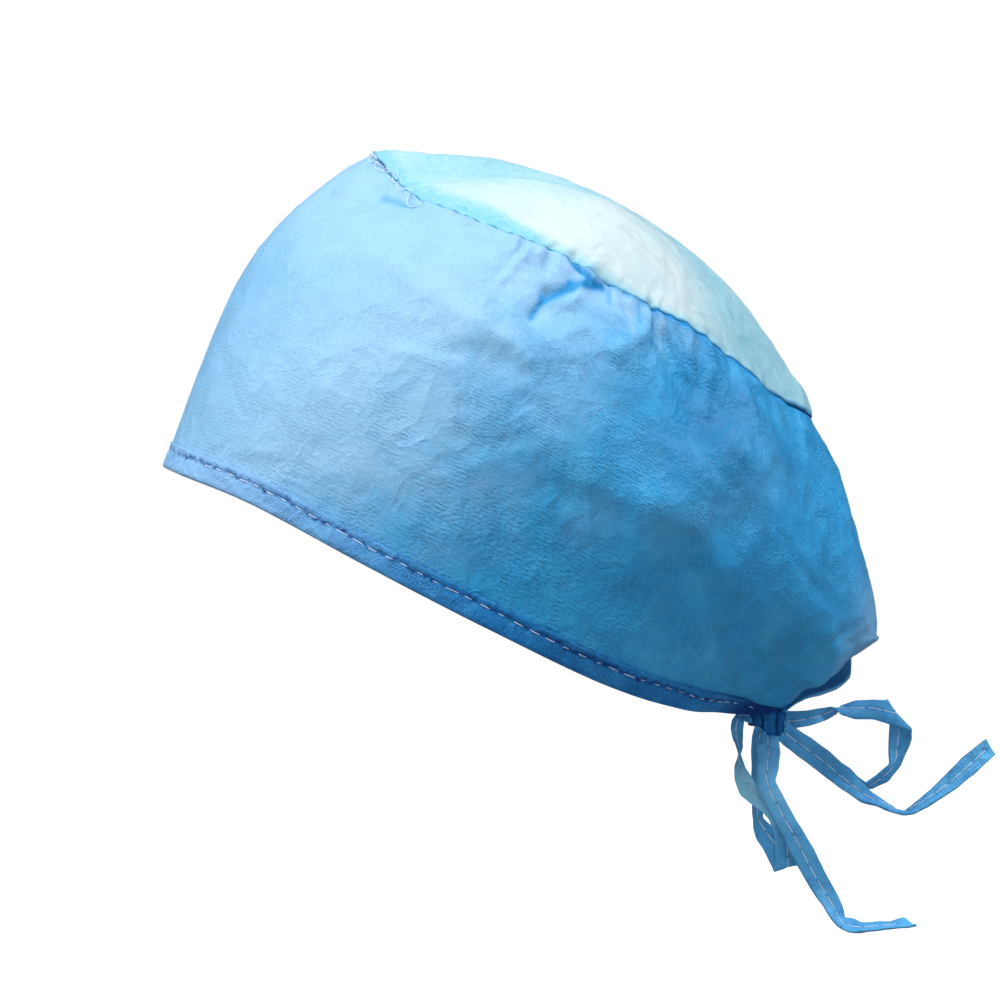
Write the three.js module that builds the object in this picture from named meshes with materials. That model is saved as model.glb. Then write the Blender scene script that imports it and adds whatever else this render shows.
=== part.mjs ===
// Surgical cap with ties, in its worn form, in millimetres.
// +Z is up, the forehead looks along -Y and the wearer's left side is +X.
// The origin is the middle of the head opening.
import * as THREE from 'three';
import { mergeVertices } from 'three/addons/utils/BufferGeometryUtils.js';

// Driving dimensions
const PANEL_WALL = 1.2;
const CROWN_WALL = 1.0;
const BINDING_WALL = 1.0;
const BINDING_HEIGHT = 7.5;
const BINDING_END_HEIGHT = 4.5;
const GAP = 0.35;
const CROWN_RISE = 28;
const CROWN_FULLNESS = 2.3;
const TIE_WIDTH = 8;
const TIE_THICKNESS = 1.6;
const KNOT_SIZE = { x: 12, y: 10.2, z: 10.4 };
const KNOT_CENTRE = { x: 0, y: 96.8, z: -42.8 };

// Fineness of the faceted walls
const COLUMNS_PER_SIDE = 34;
const PANEL_ROWS = 14;
const CROWN_ROWS = 7;
const SLIT_ROWS = 4;
const TIE_STEPS = 24;

// The side panel's sections on the wearer's left, from the middle of the forehead to the
// centre back: where the rim, two heights between and the crown seam lie.
const PANEL_SECTIONS = [
  { place: 'forehead', rim: [0, -90.5, 38], low: [0, -77.5, 75], high: [0, -59, 111], seam: [0, -27, 133.5] },
  { place: 'brow', rim: [30, -84.5, 35.5], low: [31, -70.5, 73], high: [28, -50, 105], seam: [20, -18.5, 124.5] },
  { place: 'temple', rim: [55, -61, 26], low: [58, -46, 64], high: [53, -25, 95], seam: [37, -6, 117] },
  { place: 'ear front', rim: [71, -27, 8], low: [76, -11, 49], high: [71, 4, 84], seam: [51, 13, 109] },
  { place: 'ear', rim: [76, 8, -10], low: [82, 26, 33], high: [77, 33, 68], seam: [58, 33, 100.5] },
  { place: 'ear back', rim: [70, 43, -27], low: [77, 60, 13], high: [72, 64, 50], seam: [57, 54, 87.5] },
  { place: 'nape side', rim: [51, 66, -35], low: [60, 86, -3], high: [56, 90, 31], seam: [47, 74, 76] },
  { place: 'nape', rim: [26, 80.5, -37.2], low: [31, 111, -14], high: [31, 112, 16], seam: [27, 95, 59.5] },
  { place: 'centre back', rim: [4, 89, -38.3], low: [3, 128, -16.5], high: [1.2, 124, 16], seam: [1.2, 109, 52] },
];

// Broad folds of the side panel. A fold runs in a straight line over the panel: around is 0 at
// the forehead and 1 at the centre back, and height is 0 at the rim and 1 at the crown seam.
// A positive depth stands proud and a negative one is a dent. Side 1 is the wearer's left.
const PANEL_FOLDS = [
  { name: 'seam pleat', side: 1, around: [0.57, 0.45], height: [1.0, 0.75], width: 7, depth: -2.4 },
  { name: 'pleat ridge', side: 1, around: [0.62, 0.48], height: [0.98, 0.70], width: 9, depth: 2.0 },
  { name: 'ear ridge', side: 1, around: [0.50, 0.74], height: [0.42, 0.46], width: 15, depth: 1.8 },
  { name: 'ear hollow', side: 1, around: [0.48, 0.64], height: [0.26, 0.20], width: 16, depth: -2.2 },
  { name: 'back ridge', side: 1, around: [0.83, 0.62], height: [0.92, 0.45], width: 12, depth: 1.8 },
  { name: 'back hollow', side: 1, around: [0.70, 0.66], height: [0.86, 0.70], width: 11, depth: -1.8 },
  { name: 'nape fold', side: 1, around: [0.96, 0.76], height: [0.04, 0.25], width: 8, depth: -2.6 },
  { name: 'nape ridge', side: 1, around: [0.97, 0.84], height: [0.12, 0.38], width: 9, depth: 1.8 },
  { name: 'slit pouch', side: 1, around: [1.0, 0.93], height: [0.19, 0.16], width: 13, depth: 4.5 },
  { name: 'forehead crease', side: 1, around: [0.10, 0.20], height: [0.92, 0.98], width: 7, depth: -1.4 },
  { name: 'far seam pleat', side: -1, around: [0.50, 0.42], height: [1.0, 0.72], width: 8, depth: -2.2 },
  { name: 'far back ridge', side: -1, around: [0.78, 0.60], height: [0.90, 0.50], width: 12, depth: 1.8 },
  { name: 'far ear hollow', side: -1, around: [0.55, 0.68], height: [0.28, 0.24], width: 15, depth: -2.0 },
  { name: 'far nape fold', side: -1, around: [0.96, 0.78], height: [0.05, 0.28], width: 8, depth: -2.4 },
  { name: 'far slit pouch', side: -1, around: [1.0, 0.93], height: [0.2, 0.16], width: 13, depth: 5.5 },
];
const PANEL_LENGTH = 285;
const PANEL_HEIGHT = 118;

// Routes of the four free ends of the ties. The ribbon's flat face looks to the wearer's side
// where lean is 0, and lean is how far it has turned about its route from there, in degrees.
const TIE_ROUTES = [
  {
    name: 'back_loop',
    route: [
      { x: -2.6, y: 102.9, z: -41.4, lean: 30 },
      { x: -3.8, y: 107, z: -40.6, lean: 40 },
      { x: -6, y: 112, z: -39.5, lean: 50 },
      { x: -8.5, y: 117.5, z: -38.2, lean: 85 },
      { x: -11, y: 123.5, z: -38, lean: 125 },
      { x: -14, y: 129, z: -38, lean: 135 },
      { x: -16.5, y: 134, z: -39, lean: 145 },
      { x: -18.5, y: 137.3, z: -42.5, lean: 155 },
      { x: -19.5, y: 138.2, z: -47.5, lean: 150 },
      { x: -19.5, y: 137.5, z: -53, lean: 140 },
      { x: -18.5, y: 134.8, z: -57.8, lean: 128 },
      { x: -17, y: 130.4, z: -60.8, lean: 120 },
      { x: -15, y: 125, z: -61, lean: 120 },
      { x: -12.5, y: 120, z: -58.4, lean: 130 },
      { x: -9.8, y: 114, z: -54.6, lean: 150 },
      { x: -7.6, y: 108.4, z: -50.6, lean: 165 },
      { x: -5.8, y: 103.8, z: -46.6, lean: 180 },
    ],
  },
  {
    name: 'back_tail',
    route: [
      { x: 0.8, y: 102.6, z: -46.6, lean: 0 },
      { x: -0.3, y: 107.5, z: -50, lean: 0 },
      { x: -1.6, y: 112.5, z: -53.7, lean: 0 },
      { x: -3, y: 117.5, z: -57.2, lean: 0 },
      { x: -4.5, y: 122.5, z: -61, lean: 10 },
      { x: -6, y: 127, z: -64.5, lean: 30 },
      { x: -7.5, y: 131.5, z: -67, lean: 55 },
      { x: -8.5, y: 135.5, z: -69, lean: 75 },
      { x: -9.5, y: 138.8, z: -69.6, lean: 80 },
      { x: -11, y: 142.5, z: -68.2, lean: 65 },
      { x: -12.5, y: 147, z: -65.6, lean: 45 },
      { x: -14.5, y: 151.5, z: -62.2, lean: 30 },
      { x: -16.5, y: 156.5, z: -58.2, lean: 20 },
      { x: -18, y: 161, z: -54.2, lean: 10 },
      { x: -19.5, y: 166, z: -49.6, lean: 10 },
    ],
  },
  {
    name: 'front_loop',
    route: [
      { x: 4.6, y: 90.2, z: -43.8, lean: 60 },
      { x: 6.4, y: 87.2, z: -43, lean: 55 },
      { x: 7.8, y: 86, z: -45.4, lean: 60 },
      { x: 9.8, y: 86.4, z: -49.6, lean: 90 },
      { x: 11, y: 86.8, z: -53.4, lean: 110 },
      { x: 11.4, y: 87.9, z: -56.8, lean: 140 },
      { x: 11.8, y: 89.7, z: -60.2, lean: 160 },
      { x: 12.2, y: 92.2, z: -63.2, lean: 175 },
      { x: 12.8, y: 95, z: -65.6, lean: 180 },
      { x: 13.4, y: 97.7, z: -68.2, lean: 180 },
      { x: 14, y: 99.7, z: -71.6, lean: 180 },
      { x: 14.2, y: 100.5, z: -75.8, lean: 180 },
      { x: 14.2, y: 100.8, z: -80, lean: 180 },
      { x: 13.4, y: 100.8, z: -84, lean: 180 },
      { x: 11.3, y: 100.6, z: -85.8, lean: 270 },
      { x: 9.2, y: 99.5, z: -83.8, lean: 360 },
      { x: 8, y: 96.9, z: -79.6, lean: 360 },
      { x: 7, y: 94.3, z: -75.4, lean: 345 },
      { x: 6.2, y: 92.6, z: -71.4, lean: 310 },
      { x: 5.4, y: 92.1, z: -67.2, lean: 300 },
      { x: 4.8, y: 91.9, z: -62.6, lean: 310 },
      { x: 4.3, y: 92, z: -58, lean: 325 },
      { x: 3.9, y: 92.4, z: -53.4, lean: 340 },
      { x: 3.5, y: 93, z: -49.6, lean: 350 },
    ],
  },
  {
    name: 'front_tail',
    route: [
      { x: 6.4, y: 95.3, z: -48.8, lean: 0 },
      { x: 7.4, y: 95.3, z: -52, lean: 0 },
      { x: 10.6, y: 94.9, z: -55.6, lean: 0 },
      { x: 15, y: 95.1, z: -59.2, lean: 0 },
      { x: 17.4, y: 97, z: -63.4, lean: 0 },
      { x: 18.4, y: 99.6, z: -68.2, lean: 0 },
      { x: 18.8, y: 102.4, z: -73.2, lean: 0 },
      { x: 19, y: 105.3, z: -78.6, lean: 0 },
      { x: 19, y: 108.3, z: -84, lean: 0 },
      { x: 19, y: 111.3, z: -89.5, lean: 5 },
      { x: 19, y: 114.2, z: -94.6, lean: 15 },
      { x: 19, y: 116.8, z: -99, lean: 35 },
      { x: 19.5, y: 119.4, z: -102, lean: 55 },
      { x: 20, y: 122.6, z: -103.4, lean: 70 },
      { x: 21, y: 126.6, z: -103.6, lean: 75 },
      { x: 22, y: 130.6, z: -103.6, lean: 75 },
      { x: 23, y: 134.6, z: -103.4, lean: 75 },
      { x: 24, y: 139, z: -103, lean: 70 },
    ],
  },
];

const CLOTH_BLUE = new THREE.MeshStandardMaterial({ color: 0x4f9fd4, roughness: 0.85, metalness: 0 });
const CROWN_AQUA = new THREE.MeshStandardMaterial({ color: 0xc9eef3, roughness: 0.85, metalness: 0 });
const BINDING_BLUE = new THREE.MeshStandardMaterial({ color: 0x3f83ba, roughness: 0.85, metalness: 0 });
const TIE_BLUE = new THREE.MeshStandardMaterial({ color: 0x4c86b4, roughness: 0.85, metalness: 0 });

/** Smooth step from 0 at low to 1 at high. */
function blend(value, low, high) {
  return THREE.MathUtils.smoothstep(value, low, high);
}

/** Catmull-Rom value at a share of the way from the second of four points to the third. */
function splinePoint(before, from, to, after, share) {
  const point = new THREE.Vector3();
  for (const axis of ['x', 'y', 'z']) {
    const slopeFrom = (to[axis] - before[axis]) / 2;
    const slopeTo = (after[axis] - from[axis]) / 2;
    const step = from[axis] - to[axis];
    const cubic = 2 * step + slopeFrom + slopeTo;
    const square = -3 * step - 2 * slopeFrom - slopeTo;
    point[axis] = ((cubic * share + square) * share + slopeFrom) * share + from[axis];
  }
  return point;
}

/** Point at one height of one section, the wearer's left for side 1 and right for side -1. */
function sectionPoint(section, height, side) {
  const levels = [section.rim, section.low, section.high, section.seam]
    .map(([x, y, z]) => new THREE.Vector3(x * side, y, z));
  const last = levels.length - 1;
  const below = levels[0].clone().multiplyScalar(2).sub(levels[1]);
  const above = levels[last].clone().multiplyScalar(2).sub(levels[last - 1]);
  const line = [below, ...levels, above];
  const index = THREE.MathUtils.clamp(Math.floor(height * last), 0, last - 1);
  return splinePoint(line[index], line[index + 1], line[index + 2], line[index + 3], height * last - index);
}

/** Plain outer face of the side panel: around runs from -1 to 1 and is 0 at the forehead. */
function plainPanelPoint(around, height) {
  const side = around < 0 ? -1 : 1;
  const last = PANEL_SECTIONS.length - 1;
  const place = Math.abs(around) * last;
  const index = THREE.MathUtils.clamp(Math.floor(place), 0, last - 1);
  const at = (number) => {
    const mirrored = number < 0 || number > last;
    const inside = number > last ? 2 * last - number : Math.abs(number);
    return sectionPoint(PANEL_SECTIONS[inside], height, mirrored ? -side : side);
  };
  return splinePoint(at(index - 1), at(index), at(index + 1), at(index + 2), place - index);
}

/** Outward normal of the plain panel. */
function panelNormal(around, height) {
  const step = 0.004;
  const before = plainPanelPoint(Math.max(around - step, -1), height);
  const after = plainPanelPoint(Math.min(around + step, 1), height);
  const below = plainPanelPoint(around, Math.max(height - step, 0));
  const above = plainPanelPoint(around, Math.min(height + step, 1));
  return after.sub(before).cross(above.sub(below)).normalize();
}

/** How far one fold moves the panel at a place on it. */
function foldDepth(fold, around, height) {
  if (around * fold.side < 0) {
    return 0;
  }
  const start = new THREE.Vector2(fold.around[0] * PANEL_LENGTH, fold.height[0] * PANEL_HEIGHT);
  const end = new THREE.Vector2(fold.around[1] * PANEL_LENGTH, fold.height[1] * PANEL_HEIGHT);
  const here = new THREE.Vector2(Math.abs(around) * PANEL_LENGTH, height * PANEL_HEIGHT);
  const run = end.clone().sub(start);
  const share = THREE.MathUtils.clamp(here.clone().sub(start).dot(run) / run.lengthSq(), 0, 1);
  const away = here.distanceTo(start.addScaledVector(run, share)) / fold.width;
  return fold.depth * Math.exp(-away * away);
}

/** Point of the folded panel, moved out along its normal by offset. */
function panelPoint(around, height, offset) {
  const folds = PANEL_FOLDS.reduce((sum, fold) => sum + foldDepth(fold, around, height), 0);
  const nearRim = blend(height, 0.07, 0.2);
  const normal = panelNormal(around, height);
  return plainPanelPoint(around, height).addScaledVector(normal, folds * nearRim + offset);
}

/** The columns' places round the head, from the centre back over the forehead to the back. */
function columnPlaces() {
  const count = 2 * COLUMNS_PER_SIDE;
  return Array.from({ length: count + 1 }, (_, index) => index / COLUMNS_PER_SIDE - 1);
}

/** Closed geometry from triangles of points, with shared points joined. */
function closedGeometry(triangles) {
  const geometry = new THREE.BufferGeometry();
  const positions = triangles.flat().flatMap((point) => [point.x, point.y, point.z]);
  geometry.setAttribute('position', new THREE.Float32BufferAttribute(positions, 3));
  const merged = mergeVertices(geometry, 1e-4);
  const index = merged.getIndex().array;
  const kept = [];
  for (let first = 0; first < index.length; first += 3) {
    const [a, b, c] = index.slice(first, first + 3);
    if (a !== b && b !== c && c !== a) {
      kept.push(a, b, c);
    }
  }
  merged.setIndex(kept);
  merged.computeVertexNormals();
  return merged;
}

/** Closed body between an outer and an inner grid of columns that goes all the way round. */
function sheetBody(outer, inner, isOpen) {
  const columns = outer.length;
  const rows = outer[0].length - 1;
  const missing = (column, row) => row < 0 || row >= rows || isOpen((column + columns) % columns, row);
  const triangles = [];
  for (let column = 0; column < columns; column += 1) {
    for (let row = 0; row < rows; row += 1) {
      if (missing(column, row)) {
        continue;
      }
      const next = (column + 1) % columns;
      const corners = [[column, row], [next, row], [next, row + 1], [column, row + 1]];
      const neighbours = [[column, row - 1], [column + 1, row], [column, row + 1], [column - 1, row]];
      const [a, b, c, d] = corners.map(([i, j]) => outer[i][j]);
      const [e, f, g, h] = corners.map(([i, j]) => inner[i][j]);
      triangles.push([a, b, c], [a, c, d], [e, g, f], [e, h, g]);
      neighbours.forEach(([i, j], edge) => {
        if (missing(i, j)) {
          const [fromColumn, fromRow] = corners[edge];
          const [toColumn, toRow] = corners[(edge + 1) % corners.length];
          const outerFrom = outer[fromColumn][fromRow];
          const outerTo = outer[toColumn][toRow];
          const innerFrom = inner[fromColumn][fromRow];
          const innerTo = inner[toColumn][toRow];
          triangles.push([outerTo, outerFrom, innerFrom], [outerTo, innerFrom, innerTo]);
        }
      });
    }
  }
  return closedGeometry(triangles);
}

/** Closed body swept through matching sections, whose flat outline gives the end caps. */
function sweptBody(sections, outline) {
  const count = outline.length;
  const triangles = [];
  for (let step = 0; step + 1 < sections.length; step += 1) {
    for (let index = 0; index < count; index += 1) {
      const next = (index + 1) % count;
      const [a, b] = [sections[step][index], sections[step][next]];
      const [c, d] = [sections[step + 1][next], sections[step + 1][index]];
      triangles.push([a, b, c], [a, c, d]);
    }
  }
  const last = sections[sections.length - 1];
  for (const [a, b, c] of THREE.ShapeUtils.triangulateShape(outline, [])) {
    triangles.push([sections[0][a], sections[0][c], sections[0][b]], [last[a], last[b], last[c]]);
  }
  return closedGeometry(triangles);
}

/** Named mesh of one piece. */
function piece(name, geometry, material) {
  const mesh = new THREE.Mesh(geometry, material);
  mesh.name = name;
  return mesh;
}

/** Blue cloth round the head, from the rim to the crown seam, slit at the nape. */
function sidePanel() {
  const grid = (offset) => columnPlaces().map((around) => Array.from(
    { length: PANEL_ROWS + 1 },
    (_, row) => panelPoint(around, row / PANEL_ROWS, offset),
  ));
  const isSlit = (column, row) => column === 2 * COLUMNS_PER_SIDE && row < SLIT_ROWS;
  return piece('side_panel', sheetBody(grid(0), grid(-PANEL_WALL), isSlit), CLOTH_BLUE);
}

/** Middle of the seam and the direction in which the crown rises from it. */
function seamPlane() {
  const [front, back] = [plainPanelPoint(0, 1), plainPanelPoint(1, 1)];
  const chord = back.clone().sub(front).normalize();
  const middle = front.add(back).multiplyScalar(0.5);
  middle.x = 0;
  return { middle, upward: new THREE.Vector3(0, -chord.z, chord.y) };
}

/** Point of the crown above the seam: inward is 0 at the seam and 1 at the middle. */
function crownPoint(around, inward) {
  const { middle, upward } = seamPlane();
  const rising = plainPanelPoint(around, 1).sub(plainPanelPoint(around, 0.98)).normalize();
  const arm = panelPoint(around, 1, 0).addScaledVector(rising, GAP + CROWN_WALL).sub(middle);
  const height = arm.dot(upward);
  const spread = 1 - inward;
  const rise = CROWN_RISE * (1 - spread ** CROWN_FULLNESS) + height * spread ** 3;
  return middle.addScaledVector(arm.addScaledVector(upward, -height), spread)
    .addScaledVector(upward, rise);
}

/** Outward normal of the crown. */
function crownNormal(around, inward) {
  const step = 0.01;
  if (inward > 1 - step) {
    return seamPlane().upward;
  }
  const before = crownPoint(Math.max(around - step, -1), inward);
  const after = crownPoint(Math.min(around + step, 1), inward);
  const outside = crownPoint(around, Math.max(inward - step, 0));
  const inside = crownPoint(around, inward + step);
  return after.sub(before).cross(inside.sub(outside)).normalize();
}

/** Pale oval of thin cloth that closes the top and is sewn to the side panel. */
function crownTop() {
  const grid = (offset) => columnPlaces().map((around) => Array.from(
    { length: CROWN_ROWS + 1 },
    (_, row) => {
      const inward = row / CROWN_ROWS;
      return crownPoint(around, inward).addScaledVector(crownNormal(around, inward), offset);
    },
  ));
  return piece('crown_top', sheetBody(grid(0), grid(-CROWN_WALL), () => false), CROWN_AQUA);
}

/** Outline of the binding folded over the rim: x is outward and y is up the panel. */
function bindingOutline(height) {
  const outside = GAP + BINDING_WALL;
  const inside = -PANEL_WALL - GAP;
  return [
    new THREE.Vector2(outside, -outside),
    new THREE.Vector2(outside, height),
    new THREE.Vector2(GAP, height),
    new THREE.Vector2(GAP, -GAP),
    new THREE.Vector2(inside, -GAP),
    new THREE.Vector2(inside, height),
    new THREE.Vector2(inside - BINDING_WALL, height),
    new THREE.Vector2(inside - BINDING_WALL, -outside),
  ];
}

/** Folded strip sewn round the rim, which runs on into the ties. */
function rimBinding() {
  const sections = columnPlaces().reverse().map((around) => {
    const narrowing = blend(Math.abs(around), 0.86, 1);
    const height = THREE.MathUtils.lerp(BINDING_HEIGHT, BINDING_END_HEIGHT, narrowing);
    const rim = plainPanelPoint(around, 0);
    const length = plainPanelPoint(around, 0.1).distanceTo(rim) / 0.1;
    const upward = plainPanelPoint(around, 0.02).sub(rim).normalize();
    return bindingOutline(height).map(({ x, y }) => (y < 0
      ? panelPoint(around, 0, x).addScaledVector(upward, y)
      : panelPoint(around, y / length, x)));
  });
  return piece('rim_binding', sweptBody(sections, bindingOutline(BINDING_HEIGHT)), BINDING_BLUE);
}

/** Tight lump where the two ends of the binding are tied. */
function tieKnot() {
  const geometry = new THREE.SphereGeometry(0.5, 16, 10);
  geometry.scale(KNOT_SIZE.x, KNOT_SIZE.y, KNOT_SIZE.z);
  const mesh = piece('tie_knot', geometry, BINDING_BLUE);
  mesh.position.set(KNOT_CENTRE.x, KNOT_CENTRE.y, KNOT_CENTRE.z);
  return mesh;
}

/** Outline of a flat ribbon with rounded edges: x is across and y is through it. */
function tieOutline() {
  const [half, edge] = [TIE_WIDTH / 2, TIE_THICKNESS / 2];
  return [
    new THREE.Vector2(-half, -edge * 0.4),
    new THREE.Vector2(-half + edge, -edge),
    new THREE.Vector2(half - edge, -edge),
    new THREE.Vector2(half, -edge * 0.4),
    new THREE.Vector2(half, edge * 0.4),
    new THREE.Vector2(half - edge, edge),
    new THREE.Vector2(-half + edge, edge),
    new THREE.Vector2(-half, edge * 0.4),
  ];
}

/** Flat ribbon that follows its route and leans as its rows say. */
function tieRibbon({ name, route }) {
  const curve = new THREE.CatmullRomCurve3(route.map(({ x, y, z }) => new THREE.Vector3(x, y, z)));
  const sideways = new THREE.Vector3(1, 0, 0);
  const sections = [];
  for (let step = 0; step <= TIE_STEPS; step += 1) {
    const share = step / TIE_STEPS;
    const place = share * (route.length - 1);
    const index = Math.min(Math.floor(place), route.length - 2);
    const lean = THREE.MathUtils.lerp(route[index].lean, route[index + 1].lean, place - index);
    const centre = curve.getPoint(share);
    const along = curve.getTangent(share);
    const across = along.clone().cross(sideways).normalize()
      .applyAxisAngle(along, THREE.MathUtils.degToRad(lean));
    const through = along.clone().cross(across);
    sections.push(tieOutline().map(({ x, y }) => centre.clone()
      .addScaledVector(across, x)
      .addScaledVector(through, y)));
  }
  return piece(name, sweptBody(sections, tieOutline()), TIE_BLUE);
}

const cap = new THREE.Group();
cap.add(sidePanel(), crownTop(), rimBinding(), tieKnot(), ...TIE_ROUTES.map(tieRibbon));

export default cap;
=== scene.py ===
"""Surgical cap with ties: the finished looks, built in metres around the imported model.

+Z is up, the forehead looks along -Y and the wearer's left side is +X.
"""

import itertools
import logging
import math
from dataclasses import dataclass, field
from enum import Enum
from typing import Optional, Sequence

import bpy
import numpy as np
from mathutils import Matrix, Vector


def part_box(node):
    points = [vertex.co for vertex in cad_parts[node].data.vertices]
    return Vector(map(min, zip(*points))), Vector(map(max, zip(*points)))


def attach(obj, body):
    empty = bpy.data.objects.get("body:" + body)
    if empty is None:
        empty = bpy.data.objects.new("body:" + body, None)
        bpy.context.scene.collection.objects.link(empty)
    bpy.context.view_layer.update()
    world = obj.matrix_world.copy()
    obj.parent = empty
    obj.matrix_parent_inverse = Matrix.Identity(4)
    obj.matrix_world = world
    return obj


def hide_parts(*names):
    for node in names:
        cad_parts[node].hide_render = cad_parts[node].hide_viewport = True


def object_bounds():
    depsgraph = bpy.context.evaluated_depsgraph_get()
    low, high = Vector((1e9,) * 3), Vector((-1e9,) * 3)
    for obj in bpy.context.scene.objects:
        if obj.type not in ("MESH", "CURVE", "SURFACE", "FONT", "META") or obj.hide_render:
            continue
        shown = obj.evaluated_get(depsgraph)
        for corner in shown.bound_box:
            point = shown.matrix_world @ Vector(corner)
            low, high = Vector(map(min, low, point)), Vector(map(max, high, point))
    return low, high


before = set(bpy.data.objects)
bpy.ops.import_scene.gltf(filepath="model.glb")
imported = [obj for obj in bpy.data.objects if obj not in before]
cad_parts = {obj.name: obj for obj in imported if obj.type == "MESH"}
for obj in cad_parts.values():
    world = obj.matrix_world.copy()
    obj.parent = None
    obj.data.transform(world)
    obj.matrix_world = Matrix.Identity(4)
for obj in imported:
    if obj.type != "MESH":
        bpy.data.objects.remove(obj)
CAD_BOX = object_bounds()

LOG = logging.getLogger("surgical_cap")
MM = 0.001
BODY = "root"
Array = np.ndarray
Nodes = bpy.types.ShaderNodeTree
Node = bpy.types.Node
Socket = bpy.types.NodeSocket
Material = bpy.types.Material
Object = bpy.types.Object
Frames = tuple[Array, Array, Array, Array]
Triple = tuple[float, float, float]
PER_METRE = 1000.0
LATTICE_POINTS = 48
FOCUS_POINTS = 4001
STITCH_POINTS = 9


# ==== Named options ====


class Side(Enum):
    """A side of the wearer, as the sign of X."""

    LEFT = 1
    RIGHT = -1


class Form(Enum):
    """Cross-section of a fold."""

    SOFT = "soft"
    CREASE = "crease"
    LAP = "lap"


class Slot(Enum):
    """Material slots of the record."""

    PANEL = "panel_cloth"
    CROWN = "crown_cloth"
    BINDING = "binding_cloth"
    TIE = "tie_cloth"
    THREAD = "thread"


# ==== Small tools for points, noise and meshes ====


def smooth(value: Array, low: float, high: float) -> Array:
    """Smooth step from 0 at low to 1 at high."""
    share = np.clip((np.asarray(value, float) - low) / (high - low), 0, 1)
    return share * share * (3 - 2 * share)


def together(*parts: Array) -> Array:
    """Arrays broadcast to one shape and stacked along a new last axis."""
    return np.stack(np.broadcast_arrays(*parts), axis=-1)


def unit(vectors: Array) -> Array:
    """Vectors scaled to length 1."""
    length = np.linalg.norm(vectors, axis=-1, keepdims=True)
    return vectors / np.maximum(length, 1e-12)


def bell(value: Array, reach: float) -> Array:
    """Bell curve that is 1 at 0 and about a third at its reach."""
    return np.exp(-((value / reach) ** 2))


def run_lengths(line: Array) -> Array:
    """Distance along a line of points at each of them."""
    return np.concatenate([[0], np.cumsum(np.linalg.norm(np.diff(line, axis=0), axis=1))])


def read_table(value: Array, rows: Sequence[tuple[float, float]]) -> Array:
    """Values read from a table of places and values, with straight lines between its rows."""
    return np.interp(value, *np.array(rows, float).T)


def lowest_near(values: Array) -> Array:
    """Lowest value at each place of a grid and its eight neighbours.

    Args:
        values: one value per place, by column and row.

    Returns:
        The lowest values, by column and row.
    """
    padded = np.pad(values, 1, mode="edge")
    columns, rows = values.shape
    steps = itertools.product(range(3), repeat=2)
    return np.min([padded[i : i + columns, j : j + rows] for i, j in steps], axis=0)


def read_along(line: Array, length: Array, where: Array) -> Array:
    """Rows of a line at distances along it, given the distance at each of its points."""
    return np.stack([np.interp(where, length, line[:, k]) for k in range(3)], axis=-1)


def spaced(count: int, low: float, high: float, focus: Sequence[Triple]) -> Array:
    """Places between two numbers that lie closer together where more detail is needed.

    Args:
        count: how many places.
        low: the first place.
        high: the last place.
        focus: place, reach and gain of each spot with more detail.

    Returns:
        The places, in order.
    """
    fine = np.linspace(low, high, FOCUS_POINTS)
    density = 1 + sum(gain * bell(fine - place, reach) for place, reach, gain in focus)
    total = np.concatenate([[0], np.cumsum((density[1:] + density[:-1]) / 2)])
    return np.interp(np.linspace(0, total[-1], count), total, fine)


def spline_weights(share: Array) -> Array:
    """Catmull-Rom weights of four neighbouring points.

    Args:
        share: how far each place is between the second point and the third.

    Returns:
        An array with a last axis of four weights.
    """
    square, cube = share**2, share**3
    return np.stack(
        [
            -share / 2 + square - cube / 2,
            1 - 2.5 * square + 1.5 * cube,
            share / 2 + 2 * square - 1.5 * cube,
            -square / 2 + cube / 2,
        ],
        axis=-1,
    )


def lattice_noise(points: Array, size: float, seed: int) -> Array:
    """Smooth noise over space.

    Args:
        points: places in metres, with a last axis of three.
        size: distance between the lattice points in metres.
        seed: seed of the lattice.

    Returns:
        Values from -1 to 1.
    """
    values = np.random.default_rng(seed).uniform(-1, 1, (LATTICE_POINTS,) * 3)
    place = points / size
    cell = np.floor(place).astype(int)
    share = place - cell
    share = share**3 * (share * (share * 6 - 15) + 10)
    total = np.zeros(points.shape[:-1])
    for corner in itertools.product((0, 1), repeat=3):
        weight = np.prod(np.where(corner, share, 1 - share), axis=-1)
        x, y, z = np.moveaxis((cell + corner) % LATTICE_POINTS, -1, 0)
        total += weight * values[x, y, z]
    return total


def crumple(points: Array, size: float, seed: int) -> Array:
    """Noise with sharp ridges and flat facets between them, like crushed nonwoven cloth.

    Args:
        points: places in metres.
        size: distance between folds in metres.
        seed: seed of the noise.

    Returns:
        Values from about -1 to 1.
    """
    bend = np.stack([lattice_noise(points, size * 1.7, seed + k) for k in range(3)], axis=-1)
    bent = points + bend * size * 0.6
    first = 1 - 2 * np.abs(lattice_noise(bent, size, seed + 3))
    second = 1 - 2 * np.abs(lattice_noise(bent, size * 0.55, seed + 4))
    return 0.65 * first + 0.35 * second - 0.35


def vertex_normals(points: Array, quads: Array) -> Array:
    """Normals of the points of a surface of quads.

    Args:
        points: one row per point.
        quads: rows of four indices.

    Returns:
        One unit normal per point.
    """
    a, b, c, d = (points[quads[:, k]] for k in range(4))
    faces = np.cross(c - a, d - b)
    normals = np.zeros_like(points)
    for k in range(4):
        np.add.at(normals, quads[:, k], faces)
    return unit(normals)


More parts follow.
